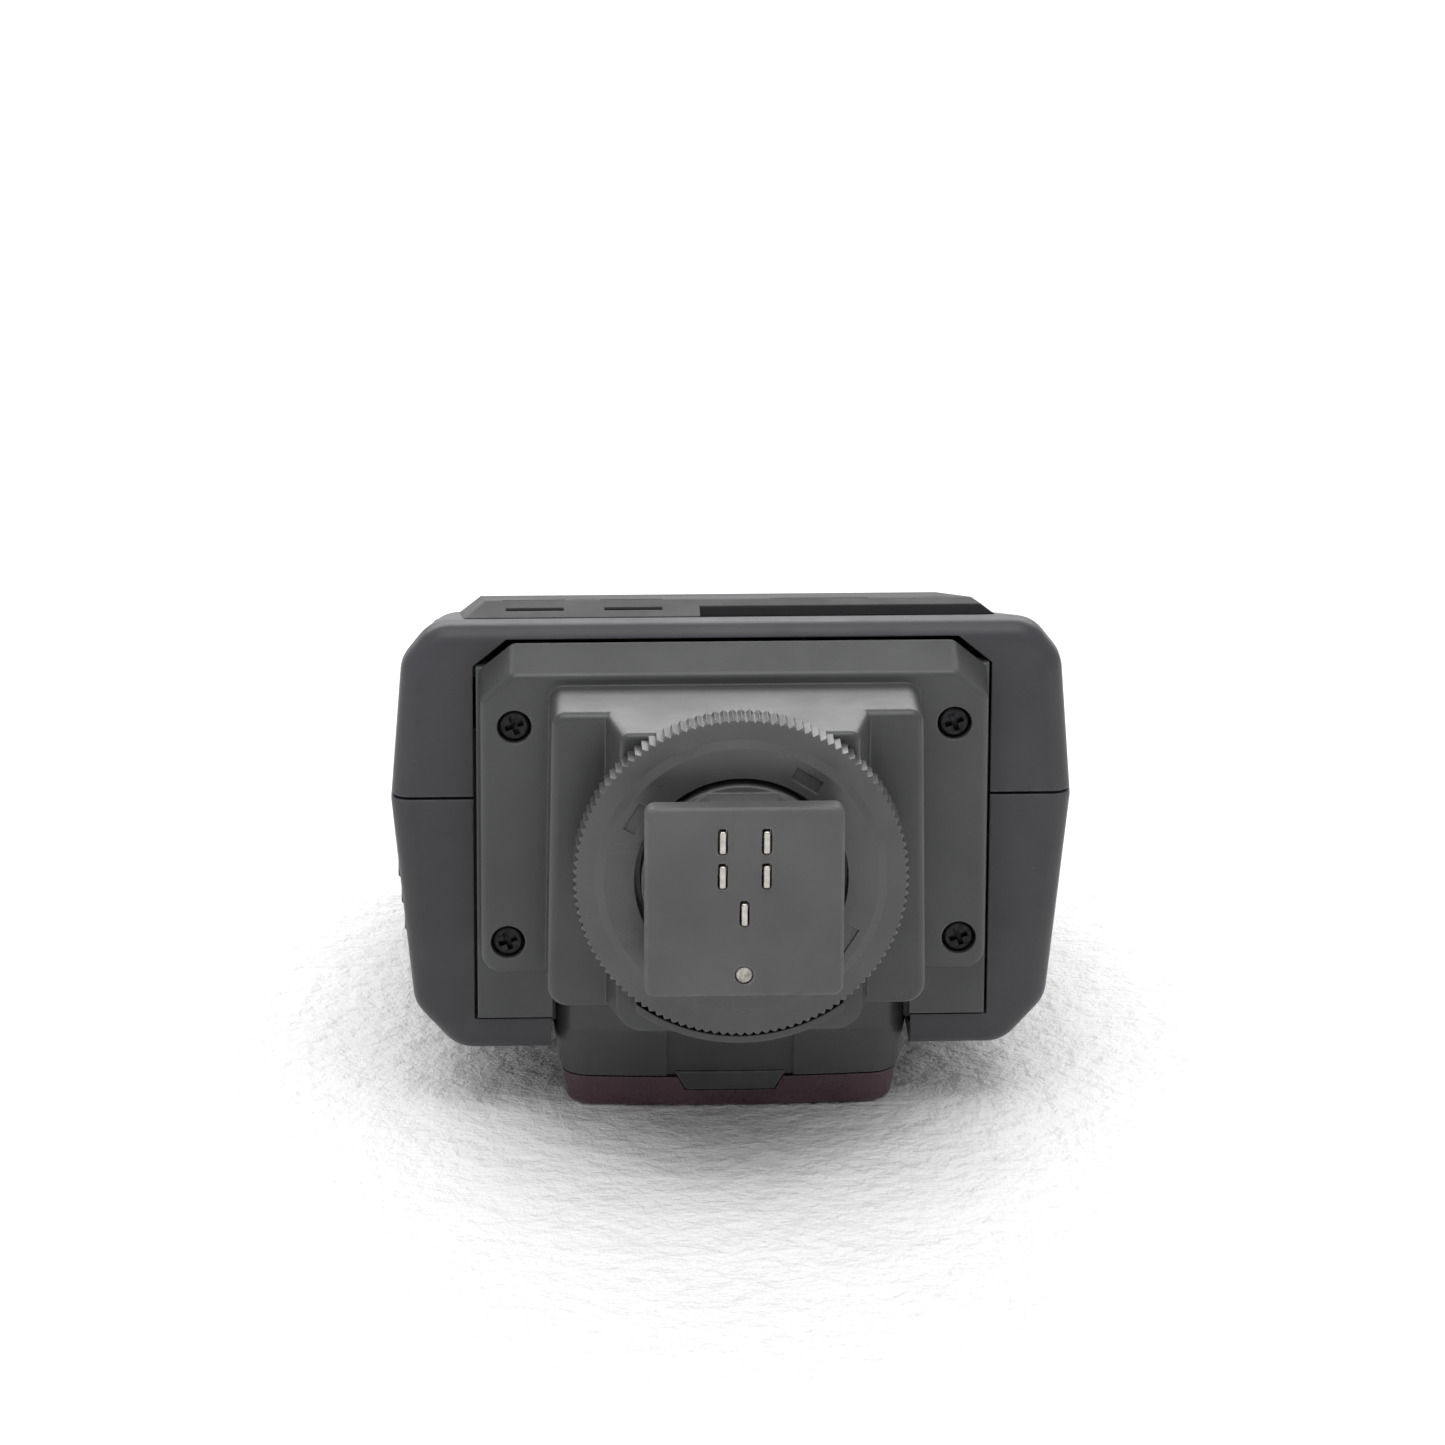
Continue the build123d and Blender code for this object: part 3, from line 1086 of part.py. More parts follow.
# ---------------------------------------------------------------- rear controls
def control_panel():
    """Raised panel on the rear; its left part ramps up and its right part has a step."""
    end = PANEL_START + PANEL_LENGTH
    corners = [(PANEL_START, 0), (PANEL_START + PANEL_RAMP, PANEL_RISE), (end - PANEL_END_RAMP, PANEL_RISE),
               (end, 0)]
    points = [REAR_SURFACE.from_local_coords(Vector(-PANEL_HALF_WIDTH, along, level))
              for along, level in corners]
    body = extrude(make_face(Polyline(*points, close=True)), amount=2 * PANEL_HALF_WIDTH, dir=(1, 0, 0))
    inset = PANEL_HALF_WIDTH - PANEL_TOP_HALF_WIDTH
    flank = [(PANEL_HALF_WIDTH + 1, -0.1), (PANEL_HALF_WIDTH, 0), (PANEL_TOP_HALF_WIDTH, PANEL_RISE),
             (PANEL_TOP_HALF_WIDTH, PANEL_RISE + 1), (PANEL_HALF_WIDTH + 1, PANEL_RISE + 1)]
    flank_points = [REAR_SURFACE.from_local_coords(Vector(x, PANEL_START - 1, level)) for x, level in flank]
    along_slope = REAR_SURFACE.y_dir
    cut = extrude(make_face(Polyline(*flank_points, close=True)), amount=PANEL_LENGTH + 2,
                  dir=tuple(along_slope))
    body = body - both_sides(cut)
    step_width = PANEL_TOP_HALF_WIDTH + inset - PANEL_STEP_START_X
    step_x = PANEL_STEP_START_X + step_width / 2
    body = body - on_rear(step_x, PANEL_START + PANEL_STEP_LENGTH / 2, 0, PANEL_RISE + 1, step_width,
                          PANEL_STEP_LENGTH)
    for x in (SYNC_BUTTON_X, TEST_BUTTON_X):
        body = body - on_rear(x, CONTROL_ROW, -1, PANEL_RISE + 1,
                              BUTTON_WIDTH + 2 * MOVING_GAP, BUTTON_LENGTH + 2 * MOVING_GAP)
        body = body - on_rear(x, PANEL_START + PANEL_RAMP / 2, PANEL_MARK_FLOOR,
                              PANEL_RISE + 1,
                              BUTTON_WIDTH, PANEL_MARK_WIDTH)
    slot = SWITCH_KNOB[0] + SWITCH_TRAVEL + 2 * MOVING_GAP
    body = body - on_rear(SWITCH_X + SWITCH_TRAVEL / 2, CONTROL_ROW, -1, PANEL_RISE + 1,
                          slot, SWITCH_KNOB[1] + 2 * MOVING_GAP)
    for x in (READY_LAMP_X, SYNC_LAMP_X):
        body = body - rod_on_rear(x, CONTROL_ROW, LAMP_RADIUS + 0.05, -1, PANEL_RISE + 1)
    body = body - on_rear(0, RANGE_PLATE_ROW, PANEL_RISE - RANGE_PLATE[2], PANEL_RISE + 1,
                          RANGE_PLATE[0] + 0.1, RANGE_PLATE[1] + 0.1)
    return body


def range_plate():
    """Blank plate let into the panel, where a distance table would be printed."""
    plate = on_rear(0, RANGE_PLATE_ROW, PANEL_RISE - RANGE_PLATE[2], PANEL_RISE, RANGE_PLATE[0],
                    RANGE_PLATE[1])
    return plate


def panel_button(x):
    """Push button with a stem that reaches its switch."""
    cap = on_rear(x, CONTROL_ROW, MOVING_GAP + BUTTON_TRAVEL, PANEL_RISE - BUTTON_SINK, BUTTON_WIDTH,
                  BUTTON_LENGTH)
    cap = fillet(cap.faces().sort_by(Axis((0, 0, 0), tuple(REAR_SURFACE.z_dir)))[-1].edges(),
                 BUTTON_EDGE_RADIUS)
    stem_end = BOARD_LEVEL + TACT_HEIGHT + BUTTON_TRAVEL + MOVING_GAP
    stem = on_rear(x, CONTROL_ROW, stem_end, MOVING_GAP + BUTTON_TRAVEL + 0.2, BUTTON_STEM, BUTTON_STEM)
    return cap + stem


def power_switch():
    """Slide knob with three grip ridges."""
    top = PANEL_RISE - SWITCH_SINK
    knob = on_rear(SWITCH_X, CONTROL_ROW, MOVING_GAP, top, SWITCH_KNOB[0], SWITCH_KNOB[1])
    groove_width, groove_depth = GRIP_GROOVE
    for index in (-1, 0, 1):
        knob = knob - on_rear(SWITCH_X + index * GRIP_PITCH, CONTROL_ROW, top - groove_depth, top + 1,
                              groove_width, SWITCH_KNOB[1] + 1)
    stem_end = BOARD_LEVEL + TACT_HEIGHT + MOVING_GAP
    return knob + on_rear(SWITCH_X, CONTROL_ROW, stem_end, MOVING_GAP + 0.2, BUTTON_STEM, BUTTON_STEM)


def lamp(x):
    body = rod_on_rear(x, CONTROL_ROW, LAMP_RADIUS, 0.02, PANEL_RISE - 0.05)
    return fillet(body.edges().sort_by(Axis((0, 0, 0), tuple(REAR_SURFACE.z_dir)))[-1], LAMP_EDGE_RADIUS)


def control_board():
    along = BOARD_START + BOARD_LENGTH / 2
    return on_rear(0, along, BOARD_LEVEL - BOARD_THICKNESS, BOARD_LEVEL, 2 * BOARD_HALF_WIDTH, BOARD_LENGTH)


def board_switches():
    """Two push switches and the slide switch on the control board."""
    bodies = [on_rear(x, CONTROL_ROW, BOARD_LEVEL, BOARD_LEVEL + TACT_HEIGHT, TACT_SIZE, TACT_SIZE)
              for x in (SYNC_BUTTON_X, TEST_BUTTON_X)]
    bodies.append(on_rear(SWITCH_X + SWITCH_TRAVEL / 2, CONTROL_ROW, BOARD_LEVEL, BOARD_LEVEL + TACT_HEIGHT,
                          SWITCH_TRAVEL + TACT_SIZE, TACT_SIZE))
    return Compound(children=bodies)


# ---------------------------------------------------------------- build
rear_case, battery_cover, head_front = case_parts()
cones, plates = battery_contacts()
nodes = {
    "rear_case": rear_case,
    "battery_cover": battery_cover,
    "head_front_case": head_front,
    "foot_base": foot_base(),
    "foot_screws": foot_screws(),
    "base_plate": base_plate(),
    "foot_plate": foot_plate(),
    "foot_stem": foot_stem(),
    "stem_screws": stem_screws(),
    "contact_carrier": contact_carrier(),
    "contact_springs": contact_springs(),
    "lock_ring": lock_ring(),
    "ring_washer": ring_washer(),
    "lock_pin": lock_pin(),
    "lock_pin_guide": lock_pin_guide(),
    "af_housing": af_housing(),
    "af_window": af_window(),
    "af_lamp": af_lamp(),
    "inner_chassis": inner_chassis(),
    "battery_springs": cones,
    "battery_contact_plates": plates,
    "cover_hinge_pins": hinge_pin(),
    "case_screws": case_screws(),
    "flash_window": flash_window(),
    "reflector": reflector(),
    "flash_tube": flash_tube(),
    "tube_caps": tube_caps(),
    "main_capacitor": main_capacitor(),
    "main_board": main_board(),
    "board_posts": board_posts(),
    "transformer": transformer(),
    "trigger_coil": trigger_coil(),
    "control_panel": control_panel(),
    "range_plate": range_plate(),
    "sync_button": panel_button(SYNC_BUTTON_X),
    "test_button": panel_button(TEST_BUTTON_X),
    "power_switch_knob": power_switch(),
    "ready_lamp": lamp(READY_LAMP_X),
    "sync_lamp": lamp(SYNC_LAMP_X),
    "control_board": control_board(),
    "board_switches": board_switches(),
}
for name, (x, height) in CONTACT_PLACES.items():
    nodes[name] = contact_pin(x, height)
for index, cell in enumerate(battery_cells()):
    nodes["battery_cell_" + str(index + 1)] = cell

for name, shape in nodes.items():
    export_step(shape, os.path.join("parts", name + ".step"))
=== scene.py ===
import json
import math

import bmesh
import bpy
from mathutils import Matrix, Vector


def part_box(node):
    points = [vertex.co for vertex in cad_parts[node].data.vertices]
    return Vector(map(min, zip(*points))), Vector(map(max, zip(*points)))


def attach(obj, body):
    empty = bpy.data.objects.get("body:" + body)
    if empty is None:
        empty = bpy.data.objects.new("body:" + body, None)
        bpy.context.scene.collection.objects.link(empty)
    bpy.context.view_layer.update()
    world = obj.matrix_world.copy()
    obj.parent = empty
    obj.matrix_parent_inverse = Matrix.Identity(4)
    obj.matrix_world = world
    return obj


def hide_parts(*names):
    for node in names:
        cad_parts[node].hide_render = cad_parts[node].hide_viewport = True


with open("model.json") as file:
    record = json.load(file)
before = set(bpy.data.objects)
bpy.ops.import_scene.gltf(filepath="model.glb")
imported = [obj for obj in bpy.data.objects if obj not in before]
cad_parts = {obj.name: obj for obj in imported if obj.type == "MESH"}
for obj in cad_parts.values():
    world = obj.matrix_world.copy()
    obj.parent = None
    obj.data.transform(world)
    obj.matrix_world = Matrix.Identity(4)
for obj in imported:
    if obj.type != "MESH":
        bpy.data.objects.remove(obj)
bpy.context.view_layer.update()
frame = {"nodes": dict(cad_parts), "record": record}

MM = 0.001

# ---------------------------------------------------------------- view
SENSOR = 36.0
FOCAL_IN_FRAMES = 5.208
CAMERA_DISTANCE = 0.7
CAMERA_AZIMUTH = -2.7
CAMERA_ELEVATION = 19.9
CAMERA_ROLL = 0.32
FOOT_RIGHT_OF_CENTRE = 0.0153
FOOT_BELOW_CENTRE = 0.1248
CLIP_START = 0.01
CLIP_END = 50

# ---------------------------------------------------------------- light
WORLD_STRENGTH = 0.6
OVERHEAD_PLACE = (0.0, -0.3, 1.0)
OVERHEAD_SIZE = 1.1
OVERHEAD_POWER = 8.0
BACK_PLACE = (0.0, 1.3, 0.85)
BACK_AIM = (0, 0, 0.03)
BACK_WIDTH = 1.9
BACK_HEIGHT = 0.8
BACK_POWER = 15
CEILING_LAMP_XS = (-0.07, 0.1)
CEILING_LAMP_Y = -0.62
CEILING_LAMP_Z = 1.25
CEILING_LAMP_AIM = (0, -0.04, 0.03)
CEILING_LAMP_SIZE = 0.03
CEILING_LAMP_POWER = 0.5
FLOOR_HALF_SIZE = 3.0
# Floor colour darkens away from the flash: painted shade for the light falling off with distance.
FLOOR_PAINTED_SHADE_START = 0.1
FLOOR_PAINTED_SHADE_END = 1.3
FLOOR_NEAR = 0.93
FLOOR_FAR_WITH_PAINTED_SHADE = 0.86
CRINKLE_SCALE = 420
SWELL_SCALE = 150
CRINKLE_DEPTH = 1.0 * MM

plate_low, plate_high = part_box("foot_plate")
FOOT_CENTRE = Vector((0, plate_low.y, (plate_low.z + plate_high.z) / 2))


# ---------------------------------------------------------------- node helpers
class Tree:
    """Short names for building one material's nodes."""

    def __init__(self, name):
        self.material = bpy.data.materials.new(name)
        self.material.use_nodes = True
        self.nodes = self.material.node_tree.nodes
        self.links = self.material.node_tree.links
        self.shader = self.nodes["Principled BSDF"]
        self.place = self.nodes.new("ShaderNodeTexCoord").outputs["Object"]

    def set(self, **values):
        for key, value in values.items():
            self.shader.inputs[key.replace("_", " ")].default_value = value

    def link(self, out, into):
        self.links.new(out, into)

    def noise(self, scale, detail=2.0, roughness=0.5, place=None):
        node = self.nodes.new("ShaderNodeTexNoise")
        node.inputs["Scale"].default_value = scale
        node.inputs["Detail"].default_value = detail
        node.inputs["Roughness"].default_value = roughness
        self.link(place or self.place, node.inputs["Vector"])
        return node.outputs["Fac"]

    def cells(self, scale, feature="F1"):
        node = self.nodes.new("ShaderNodeTexVoronoi")
        node.inputs["Scale"].default_value = scale
        node.feature = feature
        self.link(self.place, node.inputs["Vector"])
        return node.outputs["Distance"]

    def stretched(self, x, y, z):
        node = self.nodes.new("ShaderNodeMapping")
        node.inputs["Scale"].default_value = (x, y, z)
        self.link(self.place, node.inputs["Vector"])
        return node.outputs["Vector"]

    def remap(self, value, low, high, to_low=0.0, to_high=1.0):
        node = self.nodes.new("ShaderNodeMapRange")
        node.inputs["From Min"].default_value = low
        node.inputs["From Max"].default_value = high
        node.inputs["To Min"].default_value = to_low
        node.inputs["To Max"].default_value = to_high
        self.link(value, node.inputs["Value"])
        return node.outputs["Result"]

    def math(self, operation, first, second):
        node = self.nodes.new("ShaderNodeMath")
        node.operation = operation
        for socket, value in zip(node.inputs, (first, second)):
            if isinstance(value, (int, float)):
                socket.default_value = value
            else:
                self.link(value, socket)
        return node.outputs["Value"]

    def mix(self, share, first, second):
        node = self.nodes.new("ShaderNodeMix")
        node.data_type = "RGBA"
        self.link(share, node.inputs["Factor"])
        for socket, value in ((node.inputs["A"], first), (node.inputs["B"], second)):
            if isinstance(value, tuple):
                socket.default_value = value
            else:
                self.link(value, socket)
        return node.outputs["Result"]

    def bevel(self, radius):
        node = self.nodes.new("ShaderNodeBevel")
        node.samples = BEVEL_SAMPLES
        node.inputs["Radius"].default_value = radius
        return node.outputs["Normal"]

    def edges(self, radius):
        """1 along convex and concave edges, 0 on flat faces."""
        geometry = self.nodes.new("ShaderNodeNewGeometry")
        dot = self.nodes.new("ShaderNodeVectorMath")
        dot.operation = "DOT_PRODUCT"
        self.link(self.bevel(radius), dot.inputs[0])
        self.link(geometry.outputs["Normal"], dot.inputs[1])
        return self.remap(dot.outputs["Value"], *EDGE_DOTS)

    def bump(self, height, strength, distance, normal=None):
        node = self.nodes.new("ShaderNodeBump")
        node.inputs["Strength"].default_value = strength
        node.inputs["Distance"].default_value = distance
        self.link(height, node.inputs["Height"])
        if normal is not None:
            self.link(normal, node.inputs["Normal"])
        self.link(node.outputs["Normal"], self.shader.inputs["Normal"])


def grey(value, tint=(1.0, 1.0, 1.0)):
    """Neutral colour with an optional tint."""
    return (value * tint[0], value * tint[1], value * tint[2], 1.0)


# ---------------------------------------------------------------- materials
NOISE_SPREAD = (0.3, 0.7)
MOTTLING_SPREAD = (0.35, 0.65)
MOTTLING_SCALE = 90
# Paler colour along every edge, convex and concave: partly abrasion in random patches, partly a painted
# highlight.
EDGE_ABRASION_AND_HIGHLIGHT_RADIUS = 0.45 * MM
EDGE_ABRASION_AND_HIGHLIGHT_SCALE = 700
EDGE_ABRASION_AND_HIGHLIGHT_GAIN = 2.3
DUST_CELLS = 420
DUST_RADIUS = 0.035
DUST_PATCHES = 60
DUST_SHADE = 0.3
GRAIN_HEIGHT = 0.03 * MM
TURNING_SCALE = 9000
TURNING_HEIGHT = 0.02 * MM
BEVEL_SAMPLES = 6
EDGE_DOTS = (0.995, 0.8)


def moulded_plastic(name, shade, roughness, tint=(1.0, 0.985, 1.03), grain=5200, grain_depth=0.35,
                    soft_edge=0.25 * MM, abrasion_and_highlight_share=0.5, specular=0.5):
    """Spark-eroded black plastic: fine grain, faint mottling, paler edges that are partly abrasion and partly
    a painted highlight, and dust.
    """
    t = Tree(name)
    mottling = t.remap(t.noise(MOTTLING_SCALE, 4, 0.6), *MOTTLING_SPREAD)
    base = t.mix(mottling, grey(shade * 0.88, tint), grey(shade * 1.1, tint))
    # Painted highlight mixed with abrasion: every edge, convex and concave, is made paler in random patches.
    abrasion_and_highlight_patches = t.remap(t.noise(EDGE_ABRASION_AND_HIGHLIGHT_SCALE, 3), 0.35, 0.62, 0.15, abrasion_and_highlight_share)
    abrasion_and_highlight_edges = t.math("MULTIPLY", t.edges(EDGE_ABRASION_AND_HIGHLIGHT_RADIUS), abrasion_and_highlight_patches)
    base = t.mix(abrasion_and_highlight_edges, base, grey(shade * EDGE_ABRASION_AND_HIGHLIGHT_GAIN + 0.01, tint))
    specks = t.remap(t.cells(DUST_CELLS), DUST_RADIUS, 0.0)
    dust = t.math("MULTIPLY", specks, t.remap(t.noise(DUST_PATCHES), 0.5, 0.65))
    base = t.mix(dust, base, grey(DUST_SHADE))
    t.link(base, t.shader.inputs["Base Color"])
    patch = t.noise(140, 3, 0.7)
    t.link(t.remap(patch, *NOISE_SPREAD, roughness - 0.05, roughness + 0.06), t.shader.inputs["Roughness"])
    t.set(Specular_IOR_Level=specular)
    fine = t.noise(grain, 2, 0.6)
    t.bump(fine, grain_depth, GRAIN_HEIGHT, t.bevel(soft_edge))
    return t.material


def turned_plastic(name, shade, roughness, centre):
    """Black plastic turned on a lathe: fine circles round the foot's axis."""
    t = Tree(name)
    shift = t.nodes.new("ShaderNodeVectorMath")
    shift.operation = "SUBTRACT"
    t.link(t.place, shift.inputs[0])
    shift.inputs[1].default_value = centre
    flat = t.nodes.new("ShaderNodeVectorMath")
    flat.operation = "MULTIPLY"
    t.link(shift.outputs["Vector"], flat.inputs[0])
    flat.inputs[1].default_value = (1, 0, 1)
    length = t.nodes.new("ShaderNodeVectorMath")
    length.operation = "LENGTH"
    t.link(flat.outputs["Vector"], length.inputs[0])
    radius = length.outputs["Value"]
    circles = t.nodes.new("ShaderNodeTexNoise")
    circles.noise_dimensions = "1D"
    circles.inputs["Scale"].default_value = TURNING_SCALE
    circles.inputs["Detail"].default_value = 3
    t.link(radius, circles.inputs["W"])
    mottling = t.remap(t.noise(150, 3), *MOTTLING_SPREAD)
    base = t.mix(mottling, grey(shade * 0.9), grey(shade * 1.1))
    # Paler colour along every edge, convex and concave: partly abrasion in random patches, partly a painted
    # highlight.
    abrasion_and_highlight_patches = t.remap(t.noise(900, 3), 0.4, 0.6, 0.1, 0.6)
    abrasion_and_highlight_edges = t.math("MULTIPLY", t.edges(0.25 * MM), abrasion_and_highlight_patches)
    base = t.mix(abrasion_and_highlight_edges, base, grey(shade * 2.2 + 0.02))
    t.link(base, t.shader.inputs["Base Color"])
    sheen = t.remap(t.noise(400, 3), *NOISE_SPREAD, roughness - 0.06, roughness + 0.08)
    t.link(sheen, t.shader.inputs["Roughness"])
    t.set(Specular_IOR_Level=0.6)
    t.bump(circles.outputs["Fac"], 0.3, TURNING_HEIGHT, t.bevel(0.12 * MM))
    return t.material


def plated_metal(name, colour, roughness, scratch=0.4):
    """Bright plating with fine scratches and dulled patches."""
    t = Tree(name)
    dull = t.remap(t.noise(1500, 4), 0.35, 0.7)
    dark = tuple(c * 0.72 for c in colour) + (1.0,)
    t.link(t.mix(dull, tuple(colour) + (1.0,), dark), t.shader.inputs["Base Color"])
    polish = t.remap(t.noise(2600, 3), 0.3, 0.75, roughness * 0.7, roughness * 1.7)
    t.link(polish, t.shader.inputs["Roughness"])
    t.set(Metallic=1.0)
    lines = t.noise(4000, 2, 0.6, t.stretched(1.0, 0.12, 1.0))
    t.bump(lines, scratch, 0.01 * MM, t.bevel(0.08 * MM))
    return t.material


def tinted_window(name, colour, roughness, transmission):
    """Deep-coloured acrylic with faint flow lines."""
    t = Tree(name)
    depth = t.remap(t.noise(120, 2), *NOISE_SPREAD)
    dark = tuple(c * 0.6 for c in colour) + (1.0,)
    t.link(t.mix(depth, tuple(colour) + (1.0,), dark), t.shader.inputs["Base Color"])
    t.link(t.remap(t.noise(700, 3), *NOISE_SPREAD, roughness, roughness + 0.08), t.shader.inputs["Roughness"])
    t.set(Transmission_Weight=transmission, IOR=1.49, Specular_IOR_Level=0.5)
    t.bump(t.noise(240, 2), 0.08, 0.05 * MM, t.bevel(0.2 * MM))
    return t.material


def board_material(name):
    """Green glass-epoxy with copper traces under the lacquer."""
    t = Tree(name)
    traces = t.remap(t.cells(420, "DISTANCE_TO_EDGE"), 0.06, 0.03)
    base = t.mix(traces, (0.012, 0.085, 0.04, 1), (0.04, 0.2, 0.09, 1))
    t.link(base, t.shader.inputs["Base Color"])
    t.link(t.remap(t.noise(900), *NOISE_SPREAD, 0.28, 0.42), t.shader.inputs["Roughness"])
    t.bump(traces, 0.4, 0.03 * MM, t.bevel(0.1 * MM))
    return t.material


def sleeve_material(name, body, band, middle, blur):
    """Plain metallic sleeve, coloured along +X past the middle value, with scuffs."""
    t = Tree(name)
    split = t.nodes.new("ShaderNodeSeparateXYZ")
    t.link(t.place, split.inputs[0])
    banded = t.remap(split.outputs["X"], middle - blur, middle + blur)
    scuffs = t.remap(t.noise(800, 4), 0.5, 0.75, 0, 0.35)
    base = t.mix(banded, body, band)
    t.link(t.mix(scuffs, base, (0.55, 0.55, 0.56, 1)), t.shader.inputs["Base Color"])
    t.set(Metallic=0.55)
    t.link(t.remap(t.noise(500, 3), *NOISE_SPREAD, 0.24, 0.4), t.shader.inputs["Roughness"])
    t.bump(t.noise(1300, 3), 0.15, 0.02 * MM, t.bevel(0.15 * MM))
    return t.material


def wound_copper(name):
    """Enamelled copper wire wound in even turns, with painted shade in the grooves between turns and a
    painted highlight on their crests.
    """
    t = Tree(name)
    wave = t.nodes.new("ShaderNodeTexWave")
    wave.inputs["Scale"].default_value = 900
    wave.bands_direction = "X"
    t.link(t.place, wave.inputs["Vector"])
    # Painted shade and highlight: each turn's colour runs from dark brown in its groove to bright copper on
    # its crest.
    turns = t.mix(wave.outputs["Fac"], (0.32, 0.09, 0.03, 1), (0.75, 0.3, 0.12, 1))
    t.link(turns, t.shader.inputs["Base Color"])
    t.set(Metallic=0.8)
    t.link(t.remap(t.noise(700), *NOISE_SPREAD, 0.25, 0.45), t.shader.inputs["Roughness"])
    t.bump(wave.outputs["Fac"], 0.6, 0.08 * MM)
    return t.material


def floor_material(name):
    """White board with a faint crinkle, its colour painted darker away from the flash as painted shade."""
    t = Tree(name)
    split = t.nodes.new("ShaderNodeSeparateXYZ")
    t.link(t.place, split.inputs[0])
    # Painted shade: the floor's colour darkens along +Y, away from the camera.
    far = t.remap(split.outputs["Y"], FLOOR_PAINTED_SHADE_START, FLOOR_PAINTED_SHADE_END)
    t.link(t.mix(far, grey(FLOOR_NEAR), grey(FLOOR_FAR_WITH_PAINTED_SHADE)), t.shader.inputs["Base Color"])
    t.link(t.remap(t.noise(60), *NOISE_SPREAD, 0.55, 0.75), t.shader.inputs["Roughness"])
    crinkle = t.math("ADD", t.noise(CRINKLE_SCALE, 4, 0.65), t.noise(SWELL_SCALE, 3, 0.5))
    t.bump(crinkle, 0.9, CRINKLE_DEPTH)
    return t.material


CASE = moulded_plastic("case_plastic", 0.048, 0.42, tint=(0.98, 0.97, 1.1), specular=0.3)
FOOT = moulded_plastic("foot_plastic", 0.052, 0.36, tint=(0.98, 1.0, 1.01), specular=0.45)
PLATE = moulded_plastic("plate_plastic", 0.085, 0.48, tint=(1.03, 1.0, 1.0), grain=2600, abrasion_and_highlight_share=0.8,
                        specular=0.35)
PANEL = moulded_plastic("panel_plastic", 0.018, 0.5, tint=(0.97, 0.98, 1.08), specular=0.25)
BUTTON = moulded_plastic("button_plastic", 0.06, 0.5)
INNER = moulded_plastic("inner_plastic", 0.05, 0.6)
RING = turned_plastic("ring_plastic", 0.058, 0.3, FOOT_CENTRE)
SCREW = plated_metal("black_screw", (0.032, 0.032, 0.034), 0.42)
STEEL = plated_metal("steel", (0.56, 0.56, 0.57), 0.3)
NICKEL = plated_metal("nickel", (0.55, 0.52, 0.48), 0.26)
PIN_METAL = plated_metal("pin_metal", (0.55, 0.53, 0.49), 0.6, 0.2)
FOIL = plated_metal("mirror_metal", (0.9, 0.9, 0.91), 0.08, 0.1)
RED_WINDOW = tinted_window("red_window", (0.095, 0.05, 0.062), 0.24, 0.1)
CLEAR_WINDOW = tinted_window("clear_window", (0.86, 0.88, 0.88), 0.1, 0.92)
TUBE_GLASS = tinted_window("tube_glass", (0.93, 0.93, 0.97), 0.04, 0.97)
LAMP_RED = tinted_window("lamp_red", (0.55, 0.03, 0.02), 0.12, 0.5)
LAMP_GREEN = tinted_window("lamp_green", (0.04, 0.4, 0.09), 0.12, 0.5)
RUBBER = moulded_plastic("rubber", 0.3, 0.7)
FERRITE = moulded_plastic("ferrite", 0.03, 0.65)
BOARD = board_material("board")
COPPER = wound_copper("copper")
CELL = sleeve_material("cell_sleeve", (0.03, 0.035, 0.045, 1), (0.5, 0.3, 0.1, 1), 12 * MM, 0.4 * MM)
CAPACITOR = sleeve_material("capacitor_sleeve", (0.012, 0.012, 0.03, 1), (0.35, 0.36, 0.4, 1), 6 * MM,
                            0.3 * MM)

BY_SLOT = {
    "case_plastic": CASE, "foot_plastic": FOOT, "plate_plastic": PLATE, "panel_plastic": PANEL,
    "button_plastic": BUTTON, "inner_plastic": INNER, "ring_plastic": RING, "black_screw": SCREW,
    "steel": STEEL, "nickel": NICKEL, "mirror_metal": FOIL, "red_window": RED_WINDOW,
    "clear_window": CLEAR_WINDOW, "tube_glass": TUBE_GLASS, "lamp_red": LAMP_RED, "lamp_green": LAMP_GREEN,
    "rubber": RUBBER, "ferrite": FERRITE, "board": BOARD, "copper": COPPER, "cell_sleeve": CELL,
    "capacitor_sleeve": CAPACITOR,
}


def assign_materials():
    """Give each CAD node the material of its slot; the lock pin is duller than the contacts."""
    for part in frame["record"]["subparts"]:
        node = frame["nodes"][part["node"]]
        node.data.materials.clear()
        node.data.materials.append(BY_SLOT[part["material_slot"]])
    frame["nodes"]["lock_pin"].data.materials[0] = PIN_METAL


